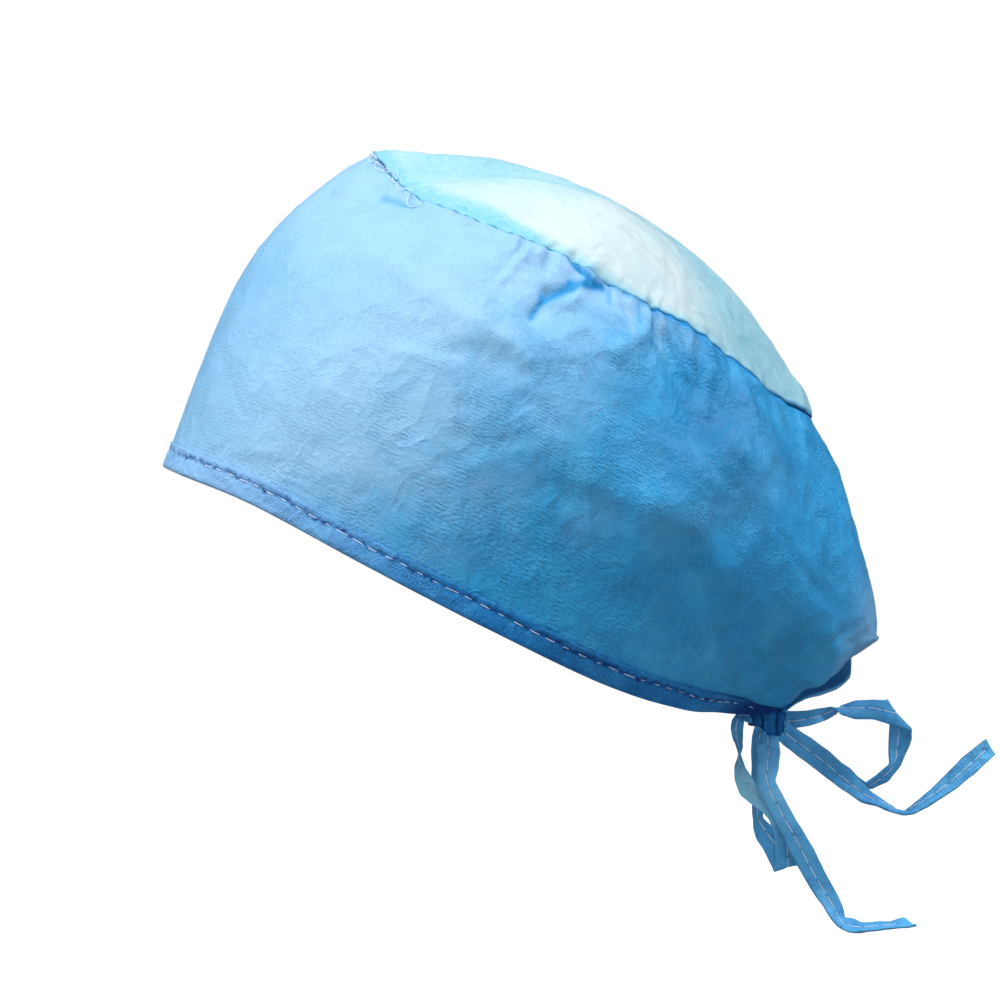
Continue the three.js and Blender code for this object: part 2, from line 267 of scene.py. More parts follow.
@dataclass
class Shape:
    """Points and quads of one mesh, with what its material reads at each point."""

    points: Array
    quads: Array
    cloth: Optional[Array] = None
    masks: dict[str, Array] = field(default_factory=dict)
    triangles: Array = field(default_factory=lambda: np.zeros((0, 3), int))

    @staticmethod
    def joined(shapes: Sequence["Shape"]) -> "Shape":
        """One shape from several that carry the same masks.

        Args:
            shapes: the shapes.

        Returns:
            The one shape.
        """
        starts = np.cumsum([0] + [len(shape.points) for shape in shapes[:-1]])
        quads = np.vstack([shape.quads + start for shape, start in zip(shapes, starts)])
        cloth = None
        if shapes[0].cloth is not None:
            cloth = np.vstack([shape.cloth for shape in shapes])
        masks = {
            name: np.concatenate([shape.masks[name] for shape in shapes])
            for name in shapes[0].masks
        }
        return Shape(np.vstack([shape.points for shape in shapes]), quads, cloth, masks)

    def build(self, name: str, material: Material) -> Object:
        """Makes the object.

        Args:
            name: name of the piece.
            material: its finish.

        Returns:
            The new object, smooth shaded.
        """
        mesh = bpy.data.meshes.new(name)
        corners = np.concatenate([self.quads.ravel(), self.triangles.ravel()]).astype(np.int32)
        sizes = np.repeat([4, 3], [len(self.quads), len(self.triangles)])
        starts = np.concatenate([[0], np.cumsum(sizes)[:-1]]).astype(np.int32)
        mesh.vertices.add(len(self.points))
        mesh.vertices.foreach_set("co", self.points.astype(np.float32).ravel())
        mesh.loops.add(len(corners))
        mesh.loops.foreach_set("vertex_index", corners)
        mesh.polygons.add(len(sizes))
        mesh.polygons.foreach_set("loop_start", starts)
        mesh.update(calc_edges=True)
        if self.cloth is not None:
            layer = mesh.uv_layers.new(name="cloth")
            layer.data.foreach_set("uv", self.cloth[corners].astype(np.float32).ravel())
        for mask, values in self.masks.items():
            made = mesh.attributes.new(mask, "FLOAT", "POINT")
            made.data.foreach_set("value", values.astype(np.float32))
        mesh.validate()
        mesh.shade_smooth()
        mesh.materials.append(material)
        made = bpy.data.objects.new(name, mesh)
        bpy.context.scene.collection.objects.link(made)
        return made


def grid_quads(columns: int, rows: int, closed: bool = False) -> Array:
    """Quads of a grid of points whose index is column * rows + row.

    Args:
        columns: how many columns of points there are.
        rows: how many points a column has.
        closed: True if the last column joins the first.

    Returns:
        Rows of four indices.
    """
    starts = np.arange(columns if closed else columns - 1)
    column, row = np.meshgrid(starts, np.arange(rows - 1), indexing="ij")
    column, row = column.ravel(), row.ravel()
    after = (column + 1) % columns
    corners = [column * rows + row, after * rows + row]
    return np.stack([*corners, after * rows + row + 1, column * rows + row + 1], axis=-1)


def strip_quads(count: int, points: int) -> Array:
    """Quads of a long body whose cross-section is a closed outline, folded flat at both ends.

    Args:
        count: how many cross-sections there are.
        points: how many points the outline has, an even number.

    Returns:
        Rows of four indices.
    """
    wrap = np.arange(count - 1) * points
    seam = np.stack([wrap + points - 1, wrap + 2 * points - 1, wrap + points, wrap], axis=-1)
    pairs = np.arange(points // 2 - 1)
    start = np.stack([pairs, pairs + 1, points - 2 - pairs, points - 1 - pairs], axis=-1)
    return np.vstack([grid_quads(count, points), seam, start, start[:, ::-1] + (count - 1) * points])


def ring_quads(columns: int, points: int, closed: bool = False) -> Array:
    """Quads of columns of points that each close to a ring.

    Args:
        columns: how many columns there are.
        points: how many points a ring has.
        closed: True if the last column joins the first.

    Returns:
        Rows of four indices.
    """
    quads = grid_quads(columns, points + 1, closed)
    column, line = quads // (points + 1), quads % (points + 1)
    return column * points + line % points


def walled(outer: Array, inner: Array, present: Array, cloth: Array, masks: dict[str, Array]) -> Shape:
    """Closed body of a cloth whose columns go all the way round.

    The inner face has half as many columns and rows as the outer face.

    Args:
        outer: outer points, by column and row, with an even count of columns and of steps.
        inner: inner points at every second column and row.
        present: which outer faces there are, by column and row.
        cloth: cloth coordinates of the outer points.
        masks: masks of the outer points by name.

    Returns:
        The body, with outer points first and inner points after them.
    """
    columns, rows = outer.shape[:2]
    half_rows = inner.shape[1]
    size = columns * rows
    place = np.arange(size).reshape(columns, rows)
    back = size + np.arange(inner.shape[0] * half_rows).reshape(-1, half_rows)
    coarse = present[::2, ::2]
    near, far, middle = place[::2], np.roll(place, -2, axis=0)[::2], np.roll(place, -1, axis=0)[::2]
    after = np.roll(back, -1, axis=0)
    gone = np.zeros((len(coarse), 1), bool)
    low, high, between = slice(0, -1, 2), slice(2, None, 2), slice(1, None, 2)
    below, above = np.hstack([gone, coarse[:, :-1]]), np.hstack([coarse[:, 1:], gone])
    before, behind = np.roll(coarse, 1, axis=0), np.roll(coarse, -1, axis=0)
    sides = (
        (near[:, low], middle[:, low], far[:, low], back[:, :-1], after[:, :-1], below),
        (far[:, low], far[:, between], far[:, high], after[:, :-1], after[:, 1:], behind),
        (far[:, high], middle[:, high], near[:, high], after[:, 1:], back[:, 1:], above),
        (near[:, high], near[:, between], near[:, low], back[:, 1:], back[:, :-1], before),
    )
    triangles = []
    for start, mid, end, start_back, end_back, neighbour in sides:
        rim = coarse & ~neighbour
        a, m, b, c, d = (part[rim] for part in (start, mid, end, start_back, end_back))
        triangles += [np.stack([m, a, c], -1), np.stack([b, m, d], -1), np.stack([m, c, d], -1)]
    quads = grid_quads(columns, rows, closed=True)[present.ravel()]
    inside = (grid_quads(inner.shape[0], half_rows, closed=True) + size)[coarse.ravel()][:, ::-1]
    reads = {name: np.concatenate([mask.ravel(), mask[::2, ::2].ravel()]) for name, mask in masks.items()}
    return Shape(
        np.vstack([outer.reshape(-1, 3), inner.reshape(-1, 3)]),
        np.vstack([quads, inside]),
        np.vstack([cloth.reshape(-1, 2), cloth[::2, ::2].reshape(-1, 2)]),
        reads,
        np.vstack(triangles),
    )


def tubes(centres: Array, lifts: Array, radii: Array, sides: int = 6) -> Shape:
    """Round threads along several lines.

    Args:
        centres: points of each line, by line and step.
        lifts: directions that are roughly square to each line, by line and step.
        radii: radius at each step.
        sides: how many sides a thread has.

    Returns:
        The threads' shape, with each end closed by collapsed rings.
    """
    lines, steps = centres.shape[:2]
    along = unit(np.gradient(centres, axis=1))
    first = unit(lifts - (lifts * along).sum(-1, keepdims=True) * along)
    second = np.cross(along, first)
    angle = np.linspace(0, 2 * math.pi, sides, endpoint=False)
    around = (
        first[:, :, None] * np.cos(angle)[None, None, :, None]
        + second[:, :, None] * np.sin(angle)[None, None, :, None]
    )
    rings = centres[:, :, None] + around * radii[None, :, None, None]
    quads = grid_quads(steps, sides)
    wrap = quads.reshape(steps - 1, sides - 1, 4)[:, 0]
    last = np.stack([wrap[:, 0] + sides - 1, wrap[:, 1] + sides - 1, wrap[:, 1], wrap[:, 0]], -1)
    one = np.vstack([quads, last])[:, ::-1]
    caps = [[0, 1, sides - 2, sides - 1], [1, 2, sides - 3, sides - 2]]
    ends = np.array(caps + [[c + (steps - 1) * sides for c in cap[::-1]] for cap in caps])
    one = np.vstack([one, ends])
    starts = (np.arange(lines) * steps * sides)[:, None, None]
    run = np.linspace(0, 1, steps)
    cloth = together(run[None, :, None], angle / 6.28, np.zeros((lines, 1, 1)))[..., :2]
    return Shape(rings.reshape(-1, 3), (one[None] + starts).reshape(-1, 4), cloth.reshape(-1, 2))


@dataclass(frozen=True)
class Stitching:
    """Pitch of running stitches, the thread that shows of each, its radius, and the share some lack."""

    pitch: float
    dash: float
    radius: float
    uneven: float = 0.1


def running_stitches(line: Array, normals: Array, kind: Stitching, seed: int) -> Shape:
    """Row of running stitches that dip in and out of the cloth.

    Args:
        line: points of the stitch line on the cloth.
        normals: the cloth's normals there.
        kind: sizes of the stitches.
        seed: seed of the small differences between them.

    Returns:
        The stitches' shape.
    """
    length = run_lengths(line)
    count = int(length[-1] / kind.pitch)
    random = np.random.default_rng(seed)
    share = np.linspace(0, 1, STITCH_POINTS)
    wander = random.uniform(-0.05, 0.05, (count, 1)) * kind.pitch
    spans = kind.dash * random.uniform(1.04 - kind.uneven, 1.04, (count, 1))
    where = (np.arange(count)[:, None] + 0.5) * kind.pitch + wander + (share - 0.5) * spans
    where = np.clip(where, 0, length[-1])
    centres = read_along(line, length, where)
    lifts = unit(read_along(normals, length, where))
    arch = 0.95 * np.sin(math.pi * share) ** 0.35 - 0.55
    slant = random.uniform(-0.5, 0.5, (count, 1)) * kind.radius * (share - 0.5)
    sideways = np.cross(unit(np.gradient(centres, axis=1)), lifts)
    centres = centres + lifts * (arch * kind.radius)[None, :, None] + sideways * slant[..., None]
    return tubes(centres, lifts, kind.radius * (0.75 + 0.25 * np.sin(math.pi * share)))


# ==== Form of the cap ====


@dataclass(frozen=True)
class Section:
    """Where the panel's rim, two heights between and its crown seam lie, in millimetres."""

    place: str
    rim: Triple
    low: Triple
    high: Triple
    seam: Triple


@dataclass(frozen=True)
class Fold:
    """Straight fold over the panel or the crown.

    around is 0 at the forehead and 1 at the centre back. height is 0 at the rim and 1 at the
    crown seam, or on the crown 0 at the seam and 1 at its middle. Sizes are in millimetres.
    """

    side: Side
    around: tuple[float, float]
    height: tuple[float, float]
    width: float
    depth: float
    form: Form = Form.SOFT


SECTIONS = (
    Section("forehead", (0, -90.5, 38), (0, -77.5, 75), (0, -59, 111), (0, -27, 133.5)),
    Section("brow", (30, -84.5, 35.5), (31, -70.5, 73), (28, -50, 105), (20, -18.5, 124.5)),
    Section("temple", (55, -61, 26), (58, -46, 64), (53, -25, 95), (37, -6, 117)),
    Section("ear front", (71, -27, 8), (76, -11, 49), (71, 4, 84), (51, 13, 109)),
    Section("ear", (76, 8, -10), (82, 26, 33), (77, 33, 68), (58, 33, 100.5)),
    Section("ear back", (70, 43, -27), (77, 60, 13), (72, 64, 50), (57, 54, 87.5)),
    Section("nape side", (51, 66, -35), (60, 86, -3), (56, 90, 31), (47, 74, 76)),
    Section("nape", (26, 80.5, -37.2), (31, 111, -14), (31, 112, 16), (27, 95, 59.5)),
    Section("centre back", (4, 89, -38.3), (3, 128, -16.5), (1.2, 124, 16), (1.2, 109, 52)),
)

LEFT, RIGHT = Side
SOFT, CREASE, LAP = Form


def folds_of(side: Side, *rows: tuple) -> tuple[Fold, ...]:
    """Folds of one side from rows of around from and to, height from and to, width, depth and form."""
    return tuple(Fold(side, row[:2], row[2:4], *row[4:]) for row in rows)


BROAD_FOLDS = (
    *folds_of(
        LEFT,
        (0.57, 0.45, 1.0, 0.75, 6, -0.9), (0.62, 0.48, 0.98, 0.70, 9, 0.8),
        (0.50, 0.74, 0.42, 0.46, 15, 1.0), (0.48, 0.64, 0.26, 0.20, 16, -1.2),
        (0.83, 0.62, 0.92, 0.45, 12, 1.8), (0.70, 0.66, 0.86, 0.70, 11, -1.8),
        (0.96, 0.76, 0.04, 0.25, 8, -2.6), (0.97, 0.84, 0.12, 0.38, 9, 1.8),
        (1.0, 0.93, 0.19, 0.16, 13, 4.5), (0.10, 0.20, 0.92, 0.98, 7, -1.4),
    ),
    *folds_of(
        RIGHT,
        (0.50, 0.42, 1.0, 0.72, 8, -2.2), (0.78, 0.60, 0.90, 0.50, 12, 1.8),
        (0.55, 0.68, 0.28, 0.24, 15, -2.0), (0.96, 0.78, 0.05, 0.28, 8, -2.4),
        (1.0, 0.93, 0.2, 0.16, 13, 5.5),
    ),
)
FINE_FOLDS = (
    *(Fold(side, (0.0, 0.05), (0.62, 0.82), 12, -1.2) for side in Side),
    *(Fold(side, (0.0, 0.05), (0.86, 0.93), 9, 0.7) for side in Side),
    *(Fold(side, (0.0, 0.06), (0.94, 1.0), 8, 1.0) for side in Side),
    *(Fold(side, (1.0, 1.0), (0.30, 1.0), 1.6, -0.7, CREASE) for side in Side),
    *(Fold(side, (0.94, 1.0), (0.93, 0.87), 9, 1.2) for side in Side),
    *(Fold(side, (0.96, 1.0), (0.38, 0.58), 12, -0.8) for side in Side),
    *folds_of(
        LEFT,
        (0.578, 0.467, 1.0, 0.85, 2.2, -1.5, CREASE), (0.467, 0.446, 0.85, 0.74, 2.2, -1.1, CREASE),
        (0.545, 0.50, 0.98, 0.86, 3.0, 1.5), (0.508, 0.538, 1.0, 0.975, 1.8, -1.6, CREASE),
        (0.425, 0.396, 0.975, 0.825, 2.4, -1.1, LAP), (0.467, 0.462, 1.0, 0.93, 1.8, -1.3, CREASE),
        (0.658, 0.636, 1.0, 0.92, 1.6, -2.0, CREASE), (0.645, 0.556, 0.965, 0.765, 3.0, 1.9),
        (0.665, 0.68, 0.98, 0.88, 2.4, 1.3), (0.72, 0.696, 0.99, 0.88, 2.4, 0.7),
        (0.76, 0.70, 0.985, 0.80, 2.6, 0.8), (0.80, 0.775, 1.0, 0.93, 1.8, -0.8, CREASE),
        (0.667, 0.750, 0.78, 0.84, 8, -1.2), (0.812, 0.692, 0.89, 0.667, 6, 1.2),
        (0.692, 0.608, 0.667, 0.383, 7, 1.0), (0.575, 0.512, 0.233, 0.35, 6, -0.6),
        (0.512, 0.638, 0.35, 0.40, 4, -0.5, LAP), (0.542, 0.671, 0.40, 0.44, 5, 0.6),
        (0.95, 0.771, 0.058, 0.233, 3.4, -1.6, CREASE), (0.85, 0.742, 0.09, 0.21, 3.0, -1.1, CREASE),
        (0.771, 0.68, 0.233, 0.345, 4.5, -0.9), (0.90, 0.80, 0.10, 0.26, 3.4, 1.3),
        (0.98, 0.88, 0.06, 0.36, 3.2, 1.2), (0.129, 0.195, 0.925, 1.0, 3.0, -1.0, CREASE),
        (0.06, 0.16, 0.86, 0.93, 3.0, -0.7, LAP), (0.25, 0.34, 0.70, 0.62, 5.0, -0.7, LAP),
        (0.30, 0.44, 0.56, 0.60, 6.0, -0.7, LAP),
    ),
    *folds_of(
        RIGHT,
        (0.62, 0.50, 1.0, 0.82, 2.4, -1.4, CREASE), (0.41, 0.36, 1.0, 0.84, 2.0, -1.0, CREASE),
        (0.95, 0.78, 0.05, 0.24, 3.4, -1.5, CREASE), (0.88, 0.72, 0.12, 0.36, 4.0, 1.3),
        (0.52, 0.66, 0.36, 0.42, 5.0, 1.1), (0.30, 0.42, 0.62, 0.58, 6.0, -0.9, LAP),
        (0.16, 0.22, 0.93, 1.0, 2.6, -0.9, CREASE),
    ),
)

# Painted shade over the lower back and broad folds, and a darker wedge above the knot where the two flaps
# overlap. Their depth is the share of the dark tone.
PAINTED_SHADE_TONES = (
    *(
        Fold(side, *run, 6, 0.22)
        for side in Side
        for run in (((0.80, 0.845), (0.40, 0.24)), ((0.845, 0.90), (0.24, 0.13)))
    ),
    *folds_of(
        LEFT,
        (0.69, 0.78, 0.76, 0.88, 8, 0.8), (0.62, 0.715, 0.56, 0.67, 11, 0.7),
        (0.75, 0.88, 0.40, 0.50, 9, 0.3), (0.46, 0.64, 0.12, 0.26, 12, 0.32),
    ),
)

# Painted shade in narrow creases below the seam, in the shade tint's saturated blue. Their depth is its
# share.
PAINTED_CREASE_SHADE = (
    *folds_of(
        LEFT,
        (0.565, 0.506, 0.985, 0.92, 1.7, 1.0), (0.506, 0.462, 0.92, 0.83, 1.8, 0.95),
        (0.462, 0.447, 0.83, 0.75, 1.3, 0.8), (0.513, 0.538, 1.0, 0.975, 2.2, 1.0),
        (0.650, 0.632, 0.98, 0.92, 0.9, 0.6), (0.622, 0.611, 0.985, 0.92, 1.0, 0.5),
        (0.577, 0.566, 0.99, 0.93, 1.0, 0.5), (0.13, 0.20, 0.945, 0.968, 1.6, 0.5),
    ),
)

# Painted light: paler stretches, highlights on pleats and lighter patches over the shaded slit flap. Their
# depth is the share of the pale tone.
PAINTED_LIGHT_TONES = (
    *folds_of(
        LEFT,
        (0.96, 0.97, 0.34, 0.44, 13, 0.65), (0.80, 0.62, 0.78, 0.38, 7, 0.16),
        (0.545, 0.56, 0.28, 0.34, 7, 0.18), (0.662, 0.643, 0.97, 0.89, 1.3, 0.4),
        (0.603, 0.590, 0.97, 0.87, 1.3, 0.4),
    ),
    *folds_of(
        RIGHT,
        (0.96, 1.0, 0.05, 0.25, 9, 0.4),
    ),
)


@dataclass
class CapForm:
    """Smooth form that the cap's cloths share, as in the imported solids."""

    panel_length: float = 285 * MM
    panel_height: float = 118 * MM
    rise: float = 26.8 * MM
    fullness: float = 2.3
    normal_step: float = 0.004
    rim_fade: tuple[float, float] = (0.07, 0.20)
    slit: float = 4 / 14
    gather_reach: float = 14 * MM
    gather_shift: Triple = (-2.4 * MM, 8.0 * MM, -0.4 * MM)

    def __post_init__(self) -> None:
        """Lays the sections out with a ghost level below the rim and above the seam."""
        rows = []
        for section in SECTIONS:
            levels = np.array([section.rim, section.low, section.high, section.seam], float) * MM
            below, above = 2 * levels[0] - levels[1], 2 * levels[-1] - levels[-2]
            rows.append(np.vstack([below, levels, above]))
        self.lines = np.array(rows)

    def plain(self, around: Array, height: Array) -> Array:
        """Points of the panel's outer face without its folds.

        Args:
            around: from -1 at the right centre back to 1 at the left, 0 at the forehead.
            height: from 0 at the rim to 1 at the crown seam.

        Returns:
            Points in metres.
        """
        around, height = np.broadcast_arrays(np.asarray(around, float), np.asarray(height, float))
        side = np.where(around < 0, -1.0, 1.0)
        last, levels = len(SECTIONS) - 1, 3
        place = np.abs(around) * last
        column = np.clip(np.floor(place).astype(int), 0, last - 1)
        row = np.clip(np.floor(height * levels).astype(int), 0, levels - 1)
        across = spline_weights(place - column)
        upward = spline_weights(height * levels - row)
        total = np.zeros(around.shape + (3,))
        for i in range(4):
            number = column - 1 + i
            mirrored = (number < 0) | (number > last)
            inside = np.where(number > last, 2 * last - number, np.abs(number))
            sign = np.where(mirrored, -side, side)
            flip = together(sign, 1, 1)
            for j in range(4):
                weight = (across[..., i] * upward[..., j])[..., None]
                total += weight * self.lines[inside, row + j] * flip
        return total + self.gather(around, height, side)

    def cloth_place(self, around: Array, height: Array) -> Array:
        """Places on the flat cloth in metres, along its rim and up from it."""
        return together(around * self.panel_length, height * self.panel_height)

    def from_foot(self, around: Array, height: Array) -> Array:
        """Distance from the slit's foot over the flat cloth."""
        return np.hypot((1 - np.abs(around)) * self.panel_length, height * self.panel_height)

    def gather(self, around: Array, height: Array, side: Array) -> Array:
        """How far the cloth round the slit's foot is drawn back into the knot.

        Args:
            around: places round the head.
            height: places up the panel.
            side: sign of X at each place.

        Returns:
            Shifts in metres.
        """
        share = bell(self.from_foot(around, height), self.gather_reach)[..., None]
        inward, back, down = self.gather_shift
        return share * together(side * inward, back, down)

    def normal(self, around: Array, height: Array) -> Array:
        """Outward normals of the plain panel.

        Args:
            around: places round the head.
            height: places up the panel.

        Returns:
            One unit vector per place.
        """
        step = self.normal_step
        sideways = self.plain(np.minimum(around + step, 1), height)
        sideways = sideways - self.plain(np.maximum(around - step, -1), height)
        upward = self.plain(around, np.minimum(height + step, 1))
        upward = upward - self.plain(around, np.maximum(height - step, 0))
        return unit(np.cross(sideways, upward))

    def folds(self, rows: Sequence[Fold], around: Array, height: Array) -> Array:
        """How far folds move the panel out.

        Args:
            rows: the folds.
            around: places round the head.
            height: places up the panel.

        Returns:
            Distances along the normal in metres.
        """
        total = np.zeros(np.broadcast(around, height).shape)
        here = self.cloth_place(np.abs(around), height)
        for fold in rows:
            start, end = self.cloth_place(np.array(fold.around), np.array(fold.height))
            run = end - start
            share = np.clip((here - start) @ run / (run @ run), 0, 1)
            gap = here - start - share[..., None] * run
            away = np.linalg.norm(gap, axis=-1) / (fold.width * MM)
            shape = np.exp(-(away**2))
            if fold.form is CREASE:
                shape = np.exp(-1.6 * away) * (1 + 1.6 * away) * np.exp(-(away**2) / 3)
            if fold.form is LAP:
                beside = (gap @ np.array([-run[1], run[0]])) / np.linalg.norm(run) / (fold.width * MM)
                shape = -1.65 * beside * np.exp(-(away**2))
            total += fold.depth * MM * shape * (around * fold.side.value >= 0)
        return total

    def flare(self, around: Array) -> Array:
        """How far the rim stands out over the forehead."""
        return 0.8 * MM * bell(around, 0.12)

    def seam_plane(self) -> tuple[Array, Array]:
        """Middle of the crown seam and the direction in which the crown rises from it.

        Returns:
            The two, in metres.
        """
        front, back = self.lines[0, 4], self.lines[-1, 4]
        chord = unit(back - front)
        middle = (front + back) / 2
        middle[0] = 0
        return middle, unit(np.array([0, -chord[2], chord[1]]))


# ==== Shader node groups ====


class Sketch:
    """Short way to place and link nodes in one tree."""

    def __init__(self, tree: Nodes) -> None:
        """Starts on a tree."""
        self.tree = tree

    def node(self, kind: str, **settings: object) -> Node:
        """Places a node.

        Args:
            kind: type of the node, without ShaderNode.
            settings: properties of the node, and inputs by name with spaces as underscores.

        Returns:
            The new node.
        """
        made = self.tree.nodes.new("ShaderNode" + kind)
        for name, value in settings.items():
            if hasattr(made, name):
                setattr(made, name, value)
            else:
                self.feed(made.inputs[name.replace("_", " ")], value)
        return made

    def feed(self, socket: Socket, value: object) -> None:
        """Links a socket to another, or sets its own value."""
        if isinstance(value, Socket):
            self.tree.links.new(value, socket)
        else:
            socket.default_value = value

    def fill(self, node: Node, *values: object) -> Node:
        """Feeds a node's inputs in order and returns it."""
        for socket, value in zip(node.inputs, values):
            self.feed(socket, value)
        return node

    def group(self, tree: Nodes, *values: object) -> Node:
        """Places a node group with its inputs in order."""
        return self.fill(self.node("Group", node_tree=tree), *values)

    def math(self, operation: str, *values: object) -> Socket:
        """Places a Math node and returns its value."""
        return self.fill(self.node("Math", operation=operation), *values).outputs[0]

    def times(self, first: object, second: object) -> Socket:
        """First times second."""
        return self.math("MULTIPLY", first, second)

    def plus(self, first: object, second: object) -> Socket:
        """First plus second."""
        return self.math("ADD", first, second)

    def minus(self, first: object, second: object) -> Socket:
        """First minus second."""
        return self.math("SUBTRACT", first, second)

    def over(self, first: object, second: object) -> Socket:
        """First over second."""
        return self.math("DIVIDE", first, second)

    def away(self, value: object) -> Socket:
        """How far a value lies from one half."""
        return self.math("ABSOLUTE", self.minus(value, 0.5))

    def vector(self, operation: str, *values: object) -> Socket:
        """Places a Vector Math node and returns its vector."""
        return self.fill(self.node("VectorMath", operation=operation), *values).outputs[0]

    def scaled(self, place: Socket, factor: object) -> Socket:
        """Places times a factor."""
        return self.node("VectorMath", operation="SCALE", Vector=place, Scale=factor).outputs[0]

    def noise(self, place: Socket, **settings: float) -> Socket:
        """Value of a Noise texture at a place."""
        return self.node("TexNoise", Vector=place, **settings).outputs[0]

    def mask(self, name: str) -> Socket:
        """Value that the mesh carries under a name, or 0."""
        return self.node("Attribute", attribute_name=name).outputs["Fac"]

    def mix(self, share: object, first: object, second: object) -> Socket:
        """Mixes two colours.

        Args:
            share: how much of the second.
            first: first colour.
            second: second colour.

        Returns:
            The mixed colour.
        """
        made = self.node("Mix", data_type="RGBA", blend_type="MIX")
        for index, value in ((0, share), (6, first), (7, second)):
            self.feed(made.inputs[index], value)
        return made.outputs[2]

    def blend(self, share: object, first: Socket, second: Socket) -> Socket:
        """Mixes two shaders and returns the result."""
        return self.fill(self.node("MixShader"), share, first, second).outputs[0]

    def ramp(self, value: object, low: float, high: float, start: float = 0, end: float = 1) -> Socket:
        """Maps a value from low..high to start..end, smoothly and clamped."""
        made = self.node("MapRange", interpolation_type="SMOOTHSTEP")
        return self.fill(made, value, low, high, start, end).outputs[0]


def new_material(name: str) -> tuple[Material, Sketch]:
    """Makes a material without nodes, and a sketch of its tree.

    Args:
        name: name of the material.

    Returns:
        The material and the sketch.
    """
    material = bpy.data.materials.new(name)
    material.use_nodes = True
    material.node_tree.nodes.clear()
    return material, Sketch(material.node_tree)


def shader_group(
    name: str, inputs: Sequence[tuple[str, str, object]], outputs: Sequence[tuple[str, str]]
) -> tuple[Sketch, list[Socket], Node]:
    """Starts a shader node group with named sockets.

    Args:
        name: name of the group.
        inputs: name, socket kind and default of each input.
        outputs: name and socket kind of each output.

    Returns:
        A sketch of the group, what its inputs give and its output node.
    """
    tree = bpy.data.node_groups.new(name, "ShaderNodeTree")
    for label, kind, default in inputs:
        socket = tree.interface.new_socket(label, in_out="INPUT", socket_type="NodeSocket" + kind)
        if default is not None:
            socket.default_value = default
    for label, kind in outputs:
        tree.interface.new_socket(label, in_out="OUTPUT", socket_type="NodeSocket" + kind)
    given = tree.nodes.new("NodeGroupInput")
    return Sketch(tree), given.outputs[: len(inputs)], tree.nodes.new("NodeGroupOutput")


def emboss_group() -> Nodes:
    """Point-bonded emboss: short uneven dashes in rows, with worn and missing ones.

    Returns:
        A group from cloth coordinates in metres to a height and a mask of the dashes.
    """
    sketch, (cloth, pitch, dash, wander), result = shader_group(
        "cloth emboss",
        [
            ("Cloth", "Vector", None),
            ("Pitch", "Float", 1.4),
            ("Dash", "Float", 3.0),
            ("Wander", "Float", 0.5),
        ],
        [("Height", "Float"), ("Mask", "Float")],
    )
    scaled = sketch.scaled(cloth, PER_METRE)
    drift = sketch.noise(scaled, Scale=0.12, Detail=3.0, Roughness=0.7)
    split = sketch.node("SeparateXYZ", Vector=scaled)
    lean = sketch.times(sketch.minus(drift, 0.5), wander)
    rows = sketch.plus(sketch.over(split.outputs[1], pitch), lean)
    row = sketch.math("FLOOR", rows)
    stagger = sketch.node("TexWhiteNoise", noise_dimensions="1D", W=row).outputs[0]
    columns = sketch.plus(sketch.over(split.outputs[0], dash), stagger)
    across, run = (sketch.away(sketch.math("FRACT", value)) for value in (rows, columns))
    cell = sketch.node("CombineXYZ", X=sketch.math("FLOOR", columns), Y=row)
    chance = sketch.node("TexWhiteNoise", noise_dimensions="2D", Vector=cell.outputs[0])
    reach = sketch.ramp(chance.outputs[0], 0.0, 1.0, 0.12, 0.46)
    length = sketch.ramp(sketch.minus(reach, run), -0.06, 0.06)
    bonded = sketch.times(sketch.ramp(across, 0.06, 0.44, 1.0, 0.0), length)

    squeeze = sketch.node("CombineXYZ", X=sketch.over(1.0, dash), Y=sketch.over(1.0, pitch))
    drawn = sketch.vector("MULTIPLY", scaled, squeeze.outputs[0])
    lines = sketch.ramp(sketch.noise(drawn, Scale=1.9, Detail=2.0, Roughness=0.5), 0.36, 0.64)
    spread = sketch.noise(scaled, Scale=0.07, Detail=2.0, Roughness=0.6)
    height = sketch.plus(sketch.times(bonded, 0.5), sketch.times(lines, 0.6))
    height = sketch.times(height, sketch.ramp(spread, 0.38, 0.62, 0.35, 1.0))
    sketch.fill(result, height, height)
    return sketch.tree


def fibre_group() -> Nodes:
    """Web of fine fibres that run every way over the cloth, drawn out along it.

    Returns:
        A group from cloth coordinates in metres to a height and a mask of the fibres.
    """
    sketch, (cloth, size, draw), result = shader_group(
        "fibre web",
        [("Cloth", "Vector", None), ("Size", "Float", 1.0), ("Draw", "Float", 3.0)],
        [("Height", "Float"), ("Mask", "Float")],
    )
    scaled = sketch.scaled(cloth, PER_METRE)
    inverse = sketch.over(1.0, size)
    stretch = sketch.node("CombineXYZ", X=sketch.over(inverse, draw), Y=inverse, Z=1.0)
    layers = []
    for angle, offset in ((0.12, 0.0), (-0.5, 17.0), (0.75, 41.0)):
        turned = sketch.node("VectorRotate", rotation_type="Z_AXIS", Vector=scaled, Angle=angle)
        drawn = sketch.vector("MULTIPLY", turned.outputs[0], stretch.outputs[0])
        moved = sketch.vector("ADD", drawn, (offset, offset, 0))
        layers.append(sketch.noise(moved, Scale=1.0, Detail=3.0, Roughness=0.65))
    pair = sketch.math("MAXIMUM", layers[0], layers[1])
    every = sketch.plus(sketch.times(pair, 0.65), sketch.times(layers[2], 0.35))
    sketch.fill(result, every, sketch.ramp(every, 0.42, 0.68))
    return sketch.tree


